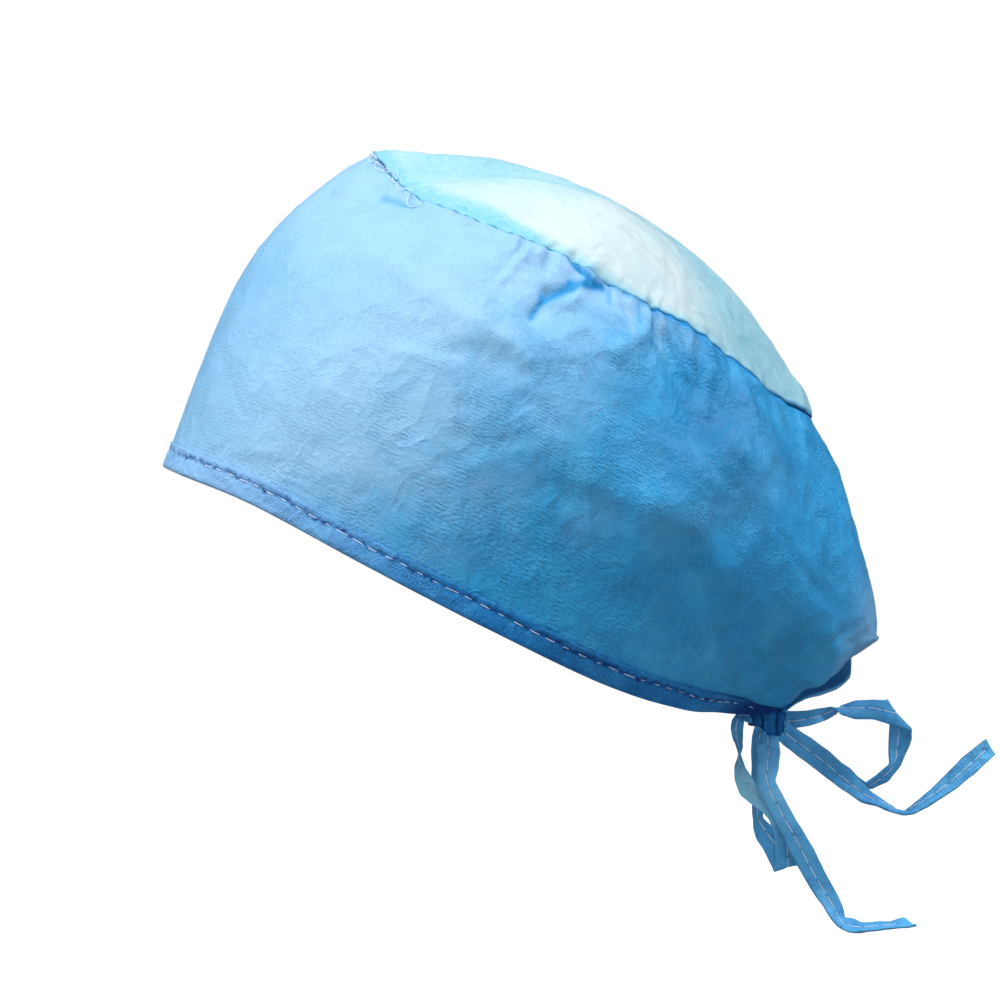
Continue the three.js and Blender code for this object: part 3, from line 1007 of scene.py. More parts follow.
def crease_group() -> Nodes:
    """Shallow creases of crushed cloth, with sharp ridges between soft facets.

    Returns:
        A group from a place in metres to a height of at most 1.
    """
    sketch, (place, size), result = shader_group(
        "crushed creases", [("Place", "Vector", None), ("Size", "Float", 9.0)], [("Height", "Float")]
    )
    scaled = sketch.scaled(place, sketch.over(PER_METRE, size))
    bend = sketch.node("TexNoise", Vector=scaled, Scale=0.7, Detail=1.0)
    bent = sketch.vector("ADD", scaled, bend.outputs["Color"])
    ridges = []
    for scale, share in ((1.0, 0.6), (2.3, 0.28), (5.1, 0.12)):
        away = sketch.away(sketch.noise(bent, Scale=scale, Detail=0.0))
        ridges.append(sketch.times(sketch.minus(1.0, sketch.times(away, 4.0)), share))
    sketch.fill(result, sketch.plus(sketch.plus(ridges[0], ridges[1]), ridges[2]))
    return sketch.tree


def mottle_group() -> Nodes:
    """Cloudy dye: large soft patches with small flecks over them.

    Returns:
        A group from a place to a colour between three, and to the share of flecks.
    """
    sketch, (place, base, pale, deep, patch, amount), result = shader_group(
        "dye mottle",
        [
            ("Place", "Vector", None),
            ("Base", "Color", (0.1, 0.4, 0.7, 1)),
            ("Pale", "Color", (0.4, 0.7, 0.9, 1)),
            ("Deep", "Color", (0.02, 0.2, 0.45, 1)),
            ("Patch", "Float", 60.0),
            ("Amount", "Float", 0.5),
        ],
        [("Color", "Color"), ("Flecks", "Float")],
    )
    cloud = sketch.noise(place, Scale=patch, Detail=5.0, Roughness=0.62)
    fleck = sketch.noise(place, Scale=1150.0, Detail=2.0, Roughness=0.7)
    light = sketch.times(sketch.ramp(cloud, 0.48, 0.74), amount)
    dark = sketch.times(sketch.ramp(cloud, 0.26, 0.50, 1.0, 0.0), amount)
    tone = sketch.mix(dark, sketch.mix(light, base, pale), deep)
    sketch.fill(result, tone, sketch.ramp(fleck, 0.55, 0.75))
    return sketch.tree


def linear(red: int, green: int, blue: int) -> tuple[float, float, float, float]:
    """Linear colour from the usual 0 to 255 values.

    Args:
        red: from 0 to 255.
        green: from 0 to 255.
        blue: from 0 to 255.

    Returns:
        The colour with an alpha of 1.
    """
    parts = []
    for part in (red, green, blue):
        value = part / 255
        parts.append(value / 12.92 if value <= 0.04045 else ((value + 0.055) / 1.055) ** 2.4)
    return (*parts, 1.0)


@dataclass
class NodeGroups:
    """The shader groups that the finishes share, each built once."""

    emboss: Nodes = field(default_factory=emboss_group)
    fibres: Nodes = field(default_factory=fibre_group)
    creases: Nodes = field(default_factory=crease_group)
    mottle: Nodes = field(default_factory=mottle_group)


# ==== Finishes ====

Color = tuple[float, float, float, float]


@dataclass(frozen=True)
class ClothFinish:
    """Finish of a nonwoven cloth. Pitch, dash, fibre size, crease size and heights are in millimetres.

    patch is how fine the dye's clouds are. glow names the mask of painted light, its colour and share.
    """

    name: str
    base: Color
    pale: Color
    deep: Color
    shade_tint: Color
    patch: float
    amount: float
    pitch: float
    dash: float
    wander: float
    emboss_height: float
    emboss_tone: float
    fibre_size: float
    fibre_draw: float
    fibre_height: float
    fibre_tone: float
    roughness: float
    specular: float
    sheen: float
    translucent: float
    crease_size: float = 9.0
    crease_height: float = 0.3
    glow_flattens: float = 0.6
    roughness_spread: tuple[float, float] = (-0.06, 0.08)
    hem_tint: Optional[Color] = None
    glow: Optional[tuple[str, Color, float]] = None

    def build(self, groups: NodeGroups) -> Material:
        """Makes the material.

        Args:
            groups: the shared shader groups.

        Returns:
            The material.
        """
        material, sketch = new_material(self.name)
        cloth = sketch.node("UVMap", uv_map="cloth").outputs[0]
        place = sketch.node("TexCoord").outputs["Object"]
        emboss = sketch.group(groups.emboss, cloth, self.pitch, self.dash, self.wander)
        fibres = sketch.group(groups.fibres, cloth, self.fibre_size, self.fibre_draw)
        mottle = sketch.group(groups.mottle, place, self.base, self.pale, self.deep, self.patch, self.amount)
        creases = sketch.group(groups.creases, place, self.crease_size)

        tone = mottle.outputs["Color"]
        flat = 1.0
        # Painted light: the glow mask mixes in a paler lit colour.
        if self.glow is not None:
            name, tint, share = self.glow
            glow = sketch.mask(name)
            tone = sketch.mix(sketch.times(glow, share), tone, tint)
            flat = sketch.minus(1.0, sketch.times(glow, self.glow_flattens))
        if self.hem_tint is not None:
            tone = sketch.mix(sketch.mask("hem"), tone, self.hem_tint)
        # The dark and shade masks mix in painted shade; emboss, fibres and flecks are the cloth's own tones.
        for share, tint in (
            (sketch.mask("dark"), self.deep),
            (sketch.times(emboss.outputs["Mask"], sketch.times(flat, self.emboss_tone)), self.deep),
            (sketch.times(fibres.outputs["Mask"], self.fibre_tone), self.pale),
            (sketch.times(mottle.outputs["Flecks"], self.fibre_tone * 0.5), self.deep),
            (sketch.mask("shade"), self.shade_tint),
        ):
            tone = sketch.mix(share, tone, tint)

        dips = sketch.times(emboss.outputs["Height"], sketch.times(flat, -self.emboss_height))
        webs = sketch.times(fibres.outputs["Height"], self.fibre_height)
        folds = sketch.times(creases.outputs["Height"], self.crease_height)
        relief = sketch.plus(sketch.plus(dips, webs), folds)
        bump = sketch.node("Bump", Strength=1.0, Distance=MM, Height=relief)
        low, high = (self.roughness + change for change in self.roughness_spread)
        surface = sketch.node(
            "BsdfPrincipled",
            Base_Color=tone,
            Roughness=sketch.ramp(fibres.outputs["Mask"], 0, 1, low, high),
            Normal=bump.outputs[0],
            Specular_IOR_Level=self.specular,
            Sheen_Weight=self.sheen,
            Sheen_Roughness=0.5,
        )
        through = sketch.node("BsdfTranslucent", Color=tone)
        seen = sketch.blend(self.translucent, surface.outputs[0], through.outputs[0])
        sketch.node("OutputMaterial", Surface=seen)
        return material


@dataclass(frozen=True)
class ThreadFinish:
    """Finish of a twisted sewing thread, with its turns in the length of one piece or stitch."""

    name: str
    color: Color
    groove: Color
    twists: float
    roughness: float = 0.5

    def build(self, groups: NodeGroups) -> Material:
        """Makes the material.

        Args:
            groups: the shared shader groups.

        Returns:
            The material.
        """
        material, sketch = new_material(self.name)
        run = sketch.node("SeparateXYZ", Vector=sketch.node("UVMap", uv_map="cloth").outputs[0])
        turn = sketch.plus(sketch.times(run.outputs[0], self.twists), run.outputs[1])
        ply = sketch.times(sketch.away(sketch.math("FRACT", turn)), 2.0)
        place = sketch.node("TexCoord").outputs["Object"]
        mottle = sketch.group(groups.mottle, place, self.color, self.color, self.groove, 900.0, 0.6)
        # Painted shade in the grooves between the plies.
        tone = sketch.mix(sketch.ramp(ply, 0.55, 1.0, 0.0, 0.55), mottle.outputs["Color"], self.groove)
        bump = sketch.node("Bump", Strength=0.8, Distance=0.08 * MM, Height=sketch.minus(1.0, ply))
        surface = sketch.node("BsdfPrincipled", Base_Color=tone, Roughness=self.roughness, Sheen_Weight=0.2)
        sketch.feed(surface.inputs["Normal"], bump.outputs[0])
        sketch.node("OutputMaterial", Surface=surface.outputs[0])
        return material


# The panel's glow colour is painted light over its lit front.
PANEL_FINISH = ClothFinish(
    name="panel_nonwoven", base=linear(30, 157, 219), pale=linear(79, 185, 232), deep=linear(10, 112, 170),
    shade_tint=linear(0, 142, 208), patch=75, amount=0.55, pitch=1.15, dash=2.6, wander=2.4,
    emboss_height=0.2, emboss_tone=0.5, fibre_size=0.45, fibre_draw=2.6, fibre_height=0.16, fibre_tone=0.34,
    roughness=0.5, specular=0.3, sheen=0.02, translucent=0.14, crease_size=11.0, crease_height=0.45,
    glow=("painted_light", linear(157, 197, 231), 0.95),
)
# The crown's glow colour is a painted highlight.
CROWN_FINISH = ClothFinish(
    name="crown_nonwoven", base=linear(158, 218, 232), pale=linear(228, 247, 250),
    deep=linear(116, 198, 218), shade_tint=linear(0, 150, 206), patch=38, amount=0.4, pitch=1.2, dash=1.8,
    wander=2.2, emboss_height=0.03, emboss_tone=0.07, fibre_size=0.9, fibre_draw=5.0, fibre_height=0.12,
    fibre_tone=0.4, roughness=0.6, specular=0.45, sheen=0.2, translucent=0.42, crease_size=14.0,
    crease_height=0.4, hem_tint=linear(120, 214, 236), glow=("glow", linear(223, 236, 237), 1.0),
)
# The binding's glow colour is painted light.
BINDING_FINISH = ClothFinish(
    name="binding_nonwoven", base=linear(22, 130, 202), pale=linear(84, 176, 232), deep=linear(6, 86, 156),
    shade_tint=linear(0, 58, 130), patch=90, amount=0.6, pitch=0.85, dash=1.1, wander=0.6,
    emboss_height=0.3, emboss_tone=0.85, fibre_size=0.4, fibre_draw=2.4, fibre_height=0.16, fibre_tone=0.26,
    roughness=0.6, specular=0.15, sheen=0.0, translucent=0.03, crease_size=5.0, crease_height=0.45,
    glow=("painted_light", linear(140, 184, 226), 0.9),
)
# The ties' glow colour is painted light.
TIE_FINISH = ClothFinish(
    name="tie_nonwoven", base=linear(78, 176, 236), pale=linear(116, 192, 236), deep=linear(24, 104, 174),
    shade_tint=linear(10, 54, 112), patch=110, amount=0.7, pitch=0.95, dash=1.2, wander=1.2,
    emboss_height=0.12, emboss_tone=0.4, fibre_size=0.5, fibre_draw=2.2, fibre_height=0.1, fibre_tone=0.3,
    roughness=0.55, specular=0.3, sheen=0.04, translucent=0.08, crease_size=4.5, crease_height=0.3,
    glow=("pale", linear(164, 236, 255), 0.9),
)
THREAD_FINISH = ThreadFinish("white_thread", linear(206, 228, 250), linear(116, 148, 206), 9.0)


# ==== Camera, lights and floor ====


@dataclass
class Studio:
    """Camera, soft lights, bright backdrop and pale floor."""

    distance: float = 2.1
    field_width: float = 0.31
    aim: tuple[float, float] = (-25.5 * MM, 12.3 * MM)
    sensor: float = 36.0
    ambient: tuple[float, float] = (0.05, 0.12)
    floor_size: float = 9.0

    def camera(self) -> Object:
        """Level camera on the wearer's left, which looks along -X.

        Returns:
            The camera.
        """
        low, high = CAD_BOX
        middle = (low + high) / 2
        data = bpy.data.cameras.new("camera")
        data.sensor_width = self.sensor
        data.lens = self.sensor * self.distance / self.field_width
        data.clip_end = 20
        made = bpy.data.objects.new("camera", data)
        made.location = (self.distance, middle.y + self.aim[0], middle.z + self.aim[1])
        made.rotation_euler = (math.pi / 2, 0, math.pi / 2)
        bpy.context.scene.collection.objects.link(made)
        bpy.context.scene.camera = made
        return made

    def softbox(self, name: str, place: Triple, size: float, power: float, tint: Color) -> None:
        """Area light that looks at the cap.

        Args:
            name: name of the light.
            place: where it stands, in metres.
            size: side of the square box.
            power: watts.
            tint: its colour.
        """
        data = bpy.data.lights.new(name, "AREA")
        data.size = size
        data.energy = power
        data.color = tint[:3]
        made = bpy.data.objects.new(name, data)
        made.location = place
        low, high = CAD_BOX
        made.rotation_euler = ((low + high) / 2 - Vector(place)).to_track_quat("-Z", "Y").to_euler()
        bpy.context.scene.collection.objects.link(made)

    def lights(self) -> None:
        """Key high over the brow, with softer lights in front, above and behind."""
        white, cool = linear(255, 252, 248), linear(236, 244, 255)
        self.softbox("key", (0.67, -0.65, 1.56), 0.7, 24.0, white)
        self.softbox("front", (0.40, -1.45, 0.98), 0.7, 17.0, white)
        self.softbox("side", (0.90, 0.02, 1.59), 0.7, 12.0, white)
        self.softbox("back", (0.0, 1.29, 1.30), 0.7, 22.0, cool)
        self.softbox("fill", (1.75, 0.40, 0.05), 0.9, 6.5, cool)

    def world(self) -> None:
        """Backdrop that shows white and lights the cap softly."""
        world = bpy.data.worlds.new("backdrop")
        bpy.context.scene.world = world
        world.use_nodes = True
        world.node_tree.nodes.clear()
        sketch = Sketch(world.node_tree)
        seen = sketch.node("LightPath").outputs["Is Camera Ray"]
        direction = sketch.node("SeparateXYZ", Vector=sketch.node("TexCoord").outputs["Generated"])
        sky = sketch.ramp(direction.outputs[2], -0.5, 0.6, *self.ambient)
        strength = sketch.math("MAXIMUM", sky, seen)
        back = sketch.node("Background", Color=(1, 1, 1, 1), Strength=strength)
        sketch.node("OutputWorld", Surface=back.outputs[0])

    def floor(self) -> Object:
        """Pale floor just under the lowest tie, which does not show from below.

        Returns:
            The floor.
        """
        low, _ = CAD_BOX
        half = self.floor_size / 2
        corners = np.array([[-half, -half, 0], [half, -half, 0], [half, half, 0], [-half, half, 0]])
        shape = Shape(corners + [0, 0, low.z - 0.5 * MM], np.array([[0, 1, 2, 3]]))
        material, sketch = new_material("floor_paper")
        grain = sketch.noise(sketch.node("TexCoord").outputs["Object"], Scale=900.0, Detail=2.0)
        bump = sketch.node("Bump", Strength=0.05, Distance=0.1 * MM, Height=grain)
        paper = sketch.node(
            "BsdfPrincipled", Base_Color=(0.3, 0.3, 0.3, 1), Roughness=0.9, Normal=bump.outputs[0]
        )
        seen = sketch.node("LightPath").outputs["Is Camera Ray"]
        glow = sketch.node("Emission", Color=(1, 1, 1, 1), Strength=sketch.times(seen, 0.95))
        both = sketch.fill(sketch.node("AddShader"), paper.outputs[0], glow.outputs[0])
        below = sketch.node("NewGeometry").outputs["Backfacing"]
        clear = sketch.node("BsdfTransparent")
        blend = sketch.blend(below, both.outputs[0], clear.outputs[0])
        sketch.node("OutputMaterial", Surface=blend)
        made = shape.build("floor", material)
        return made

    def build(self) -> None:
        """Makes the whole studio."""
        self.camera()
        self.lights()
        self.world()
        self.floor()
        view = bpy.context.scene.view_settings
        view.view_transform = "Standard"
        view.look = "None"


# ==== Ties ====


@dataclass(frozen=True)
class TieRoute:
    """Route of one free end of the ties, as the two edges of the flat strip in millimetres.

    A row holds y and z of the first edge, y and z of the second edge, and the x of each or of both.
    pale is where along it light is painted on the cloth, how far that reaches as shares of its length, and by
    how much.
    """

    node: str
    exit: Triple
    rows: tuple[tuple[float, ...], ...]
    far_end: str
    stitch: float
    pale: Triple


TIE_ROUTES = (
    TieRoute(
        "back_loop",
        (-2.6, 102.9, -41.4),
        (
            (98.9, -38.4, 98.9, -44.0, -1), (102.7, -38.4, 103.4, -43.6, -3.5),
            (107.5, -38.5, 108.5, -42.8, -6), (112.3, -37.7, 112.6, -41.5, -8),
            (116.1, -37.2, 116.4, -39.5, -8.5, -11.5), (117.6, -37.9, 117.9, -38.4, -8, -15),
            (119, -39, 119, -36.9, -10, -15), (123.8, -40.7, 123.8, -35.6, -13, -15),
            (129.5, -41.1, 129.5, -35.3, -16.5), (141.2, -44.9, 133.6, -35.6, -17.6),
            (141.2, -44.9, 133.6, -35.6, -18.8), (141.3, -47.2, 134.9, -42.2, -19.2),
            (140.2, -50.5, 134.6, -50.6, -20, -19.4), (137.7, -55.6, 134.4, -55.3, -22, -17),
            (134.1, -60.8, 131.4, -58.3, -20, -16.5), (129.4, -62.7, 127.1, -61.3, -18, -15),
            (124.4, -63, 123.9, -58.8, -15, -14), (118.6, -60.6, 121.4, -56.2, -12.5),
            (112.6, -56.8, 115.4, -52.4, -9.8), (107, -52.8, 109.8, -48.4, -7.6),
            (102.4, -48.8, 105.2, -44.4, -5.8), (98.6, -46, 101, -41.2, -3.6), (95.4, -45, 97, -39.8, -1),
        ),
        "object",
        0.1,
        (0.30, 0.10, 0.0),
    ),
    TieRoute(
        "back_tail",
        (0.8, 102.6, -46.6),
        (
            (97, -38.6, 96, -44.8, 2), (99.4, -39.6, 98.2, -46.4, 1.6), (104.4, -43.7, 101, -48.8, 0.8),
            (109.4, -47.1, 105.5, -52.1, -0.3), (114.8, -50.9, 110.1, -55.6, -2),
            (119.8, -55.6, 114.9, -59.3, -3.5), (124.9, -60.3, 119.9, -63.1, -6, -4),
            (128.4, -63.5, 125, -66.2, -9, -5.5), (132.9, -66.9, 130.2, -67.4, -11.5, -5.5),
            (136.5, -69.2, 135.2, -69.6, -13, -6.5), (138.7, -69.7, 138.2, -70.4, -13.3, -7),
            (141, -68.5, 141.3, -69.8, -14, -8.5), (144.1, -65.8, 145.4, -68.1, -14.5, -10.5),
            (147.5, -62.7, 149.9, -65.6, -15, -12.5), (152.3, -58.4, 155.4, -62.3, -15.5, -14.5),
            (156.8, -54, 160.5, -58.3, -17), (160.9, -50.6, 164.4, -54.8, -18.3),
            (164.9, -47.8, 167.4, -52, -19.5),
        ),
        "bare",
        0.05,
        (0.95, 0.12, 0.1),
    ),
    TieRoute(
        "front_loop",
        (4.6, 90.2, -43.8),
        (
            (94.5, -38, 94.5, -42, 1), (90.7, -38, 90.7, -41.7, 3), (88.5, -38.1, 89.1, -41.2, 5),
            (86.6, -38.2, 87.9, -40.4, 6, 8), (84.6, -40.9, 87.7, -41.4, 8, 9.5),
            (84.1, -43.4, 87.5, -44, 9, 10), (85, -46.7, 87.2, -47, 9.4, 12),
            (86, -49.8, 87.1, -50.2, 14, 8), (87.7, -55.2, 85.5, -54.8, 13.5, 9.5),
            (90.1, -58.4, 85.6, -59, 12.8, 11), (93.1, -61.8, 87, -63.6, 12.2),
            (96.5, -63.6, 90.5, -66.5, 12.8), (99.2, -66, 93.7, -68.6, 13.3),
            (101.3, -70, 95.9, -71.3, 13.7), (102.6, -74.6, 97.2, -74.6, 14),
            (103.7, -79.2, 97.7, -79.4, 14.2), (104.1, -82.9, 97.7, -83.5, 14.2),
            (104.3, -84.9, 97.3, -86.8, 13.9), (104.3, -84.9, 97.3, -86.8, 12.8),
            (100.5, -78.4, 93.8, -80, 12.2), (97.2, -74.3, 91.9, -76.9, 11.4),
            (95.1, -72.3, 91.2, -74.2, 10.6, 9.4), (93.6, -70.6, 91, -70.9, 10.5, 6.5),
            (93.6, -67.2, 90.8, -66.9, 9.8, 5), (93.7, -62.3, 90.7, -62.3, 8.5, 4),
            (93.7, -56.1, 90.7, -56.1, 7.5, 3.5), (94, -50, 90.9, -50, 6.5, 3),
            (94.7, -45.7, 91.3, -45.7, 5, 2.5), (95.7, -41.4, 92.3, -41.4, 3, 2),
        ),
        "object",
        -0.12,
        (0.33, 0.11, 1.0),
    ),
    TieRoute(
        "front_tail",
        (6.4, 95.3, -48.8),
        (
            (93, -39.4, 97.8, -41, 0), (92.2, -42, 98.4, -43.8, 1.5), (92, -45.8, 98.9, -46.9, 3.6),
            (92, -50.5, 99.1, -51.4, 6.8), (91.9, -54.4, 98.3, -55.3, 11.5),
            (91.8, -57.4, 97.2, -59.2, 14.5), (92.1, -61.9, 98.7, -61.9, 16),
            (93.9, -64.9, 100.2, -64.9, 17.3), (97.1, -71, 103.4, -71, 18.4),
            (99.6, -75.6, 106.4, -75.6, 19), (101.8, -80.2, 108.9, -80.2, 19),
            (104.1, -85.1, 111.5, -85.1, 19), (106.7, -89.4, 113.6, -89.4, 19),
            (108.7, -92.5, 115.2, -92.5, 19.4, 18.6), (111.9, -97.1, 117.5, -97.1, 20.6, 18),
            (114.4, -100.8, 118.2, -100.8, 22, 17), (116.4, -103.4, 118.6, -101.7, 22.5, 17.5),
            (119.4, -105, 121.2, -102, 23, 18), (123.7, -104.8, 123.6, -103.1, 24, 18.5),
            (127.9, -104.5, 128.2, -102.6, 24.5, 19), (132.2, -104.1, 132.5, -102.8, 25, 20),
            (135.2, -103.9, 135.2, -101.9, 25.5, 21), (137.6, -103.8, 136.9, -101.3, 26, 22),
            (140.1, -103.1, 138.1, -102.7, 26, 23),
        ),
        "bare",
        0.0,
        (0.22, 0.20, 0.3),
    ),
)


@dataclass
class Ribbon:
    """Folded strip of cloth with a row of stitches along its middle."""

    diameter: float = 8 * MM
    thickness: float = 0.9 * MM
    step: float = 0.4 * MM
    soften: int = 3
    proud: float = 0.3 * MM
    across_points: int = 15
    stitching: Stitching = Stitching(5.4 * MM, 4.9 * MM, 0.2 * MM)
    camber: float = 0.7 * MM
    crumple_depth: float = 0.34 * MM
    seed: int = 5

    def frames(self, rows: Array) -> Frames:
        """Dense frames along a route.

        Args:
            rows: y and z of the two edges and the x of each, in metres.

        Returns:
            Centres, tangents, half-width vectors and the directions through the ribbon.
        """
        first, second = rows[:, [4, 0, 1]], rows[:, [5, 2, 3]]
        middle = (first + second) / 2
        length = run_lengths(middle)
        even = np.linspace(0, length[-1], int(length[-1] / self.step) + 1)
        kernel = np.hanning(2 * self.soften + 1)
        kernel = kernel / kernel.sum()
        lines = []
        for line in (middle, (second - first) / 2):
            dense = read_along(line, length, even)
            padded = np.pad(dense, ((self.soften, self.soften), (0, 0)), mode="reflect", reflect_type="odd")
            lines.append(np.stack([np.convolve(column, kernel, "valid") for column in padded.T], -1))
        centres, across = lines
        across = across + unit(across) * self.proud
        along = unit(np.gradient(centres, axis=0))
        return centres, along, across, unit(np.cross(along, across))

    def section(self) -> tuple[Array, Array]:
        """Outline of the ribbon.

        Returns:
            Shares across from -1 to 1, and shares through from -1 to 1.
        """
        share = np.linspace(-1, 1, self.across_points)
        round_edge = np.sqrt(np.clip(1 - ((share + 1) / 0.09 - 1) ** 2, 0, 1))
        top = np.where(share < -0.91, round_edge, 1.0)
        across = np.concatenate([share, share[::-1]])
        return across, np.concatenate([top, -top[::-1]])

    def shape(self, frames: Frames, stitch: float, pale: Triple, seed: int) -> Shape:
        """Body of the ribbon.

        Args:
            frames: what frames() gave.
            stitch: where the stitches run, from -1 to 1 across.
            pale: where light is painted on it, how far that reaches, and by how much.
            seed: seed of its crumple.

        Returns:
            The closed body.
        """
        centres, _, across, through = frames
        share, layer = self.section()
        count, points = len(centres), len(share)
        run = np.arange(count) * self.step
        half = np.linalg.norm(across, axis=1)[:, None]
        flat = centres[:, None] + across[:, None] * share[None, :, None]
        bend = lattice_noise(centres, 14 * MM, seed)[:, None] * self.camber
        bend = bend * (share**2 - 0.33)[None]
        wave = lattice_noise(flat, 5.5 * MM, seed + 1) * self.crumple_depth
        swing = np.cos(2 * math.pi * run / self.stitching.pitch)[:, None]
        pull = swing * 0.07 * MM * (1 - np.abs(share - stitch))
        groove = bell((share - stitch) * half, 0.55 * MM) * 0.24 * MM
        edge = lattice_noise(centres, 4 * MM, seed + 2)[:, None] * 0.2 * MM * share
        uneven = 1 + 0.25 * lattice_noise(flat, 3 * MM, seed + 3)
        body = layer[None] * (self.thickness / 2 * uneven - groove)
        surface = flat + unit(across)[:, None] * edge[..., None]
        surface = surface + through[:, None] * (bend + wave + pull + body)[..., None]
        cloth = together(run[:, None], share * half)
        depth = bell((share - stitch) * half, 0.4 * MM) * 0.45
        shade = depth * (0.5 + 0.5 * swing) ** 4
        # Painted light along the ribbon, where its faces turn to the light.
        lit = np.repeat(pale[2] * bell(np.linspace(0, 1, count) - pale[0], pale[1]), points)
        masks = {"shade": shade.ravel(), "pale": lit}
        return Shape(surface.reshape(-1, 3), strip_quads(count, points)[:, ::-1], cloth.reshape(-1, 2), masks)

    def stitches(self, frames: Frames, shape: Shape, stitch: float, seed: int) -> Shape:
        """Stitches on both faces of the ribbon.

        Args:
            frames: what frames() gave.
            shape: the ribbon's body.
            stitch: where they run across it.
            seed: seed of their small differences.

        Returns:
            The threads' shape.
        """
        through = frames[3]
        surface = shape.points.reshape(len(through), -1, 3)
        share, _ = self.section()
        column = int(np.abs(share[: self.across_points] - stitch).argmin())
        rows = []
        for index, sign in ((column, 1), (len(share) - 1 - column, -1)):
            rows.append(running_stitches(surface[:, index], through * sign, self.stitching, seed + index))
        return Shape.joined(rows)


@dataclass
class Ties:
    """The four free ends of the ties."""

    cloth: Material
    thread: Material
    ribbon: Ribbon = field(default_factory=Ribbon)

    def build(self) -> list[Object]:
        """Returns:
            The ties.
        """
        made = []
        for number, route in enumerate(TIE_ROUTES):
            frames = self.ribbon.frames(np.array([(*row[:5], row[-1]) for row in route.rows]) * MM)
            seed = 60 + 10 * number
            shape = self.ribbon.shape(frames, route.stitch, route.pale, seed)
            tie = shape.build(f"{route.node}_cloth", self.cloth)
            threads = self.ribbon.stitches(frames, shape, route.stitch, seed + 5)
            stitches = threads.build(f"{route.node}_stitches", self.thread)
            dress(tie, Slot.TIE, route.node)
            dress(stitches, Slot.THREAD)
            made.append(tie)
        return made


def dress(piece: Object, slot: Slot, *nodes: str) -> Object:
    """Makes a piece ride on the cap and says what it stands for.

    Args:
        piece: the piece.
        slot: the record's slot for its finish.
        nodes: CAD nodes that it replaces.

    Returns:
        The piece.
    """
    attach(piece, BODY)
    if nodes:
        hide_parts(*nodes)
    triangles = sum(len(face.vertices) - 2 for face in piece.data.polygons)
    LOG.info("%s: %d triangles, slot %s", piece.name, triangles, slot.value)
    return piece


# ==== Panel, crown and binding ====


# Places round the head where the panel's columns lie closer together, their reach and how much closer.
PANEL_FOCUS = ((0.58, 0.17, 0.9), (1.0, 0.06, 0.9))

# Height up the panel, and how far round the head light is painted on its cloth there, as a paler lit front.
PAINTED_LIGHT_REACH = (
    (0, 0.27), (0.2, 0.375), (0.45, 0.40), (0.57, 0.425),
    (0.72, 0.455), (0.85, 0.51), (0.93, 0.61), (1, 0.66),
)

# Height up the panel, and how far round the head a weaker share of painted light still reaches there.
PAINTED_LIGHT_WIDE = ((0, 0.41), (0.2, 0.46), (0.45, 0.53), (0.6, 0.56), (0.8, 0.57), (0.9, 0.66), (1, 0.73))

# Rows of cloth past the panel's top edge: how far the face has turned in degrees, how far out and up
# it lies in millimetres, its shares of the groove's width and of the allowance, and how far it lifts
# towards the back.
SEAM_TURN = (
    (30, -0.1, 0.1, 0, 0, 0),
    (70, -0.35, 0.22, 0, 0, 0),
    (30, -0.55, 0.25, 0.15, 0, 0),
    (0, -0.62, 0.1, 0.5, 0, 0),
    (0, -0.7, 0, 0.85, 0, 0),
    (60, -1.55, 0, 1, 0, 0),
    (0, -1.95, 0.3, 1, 0, 0.5),
    (80, -2.2, 0.45, 1, 0, 0.8),
    (180, -2.5, 0.3, 1, 0, 0.8),
    (180, -2.55, 0, 0, 1, 0),
)


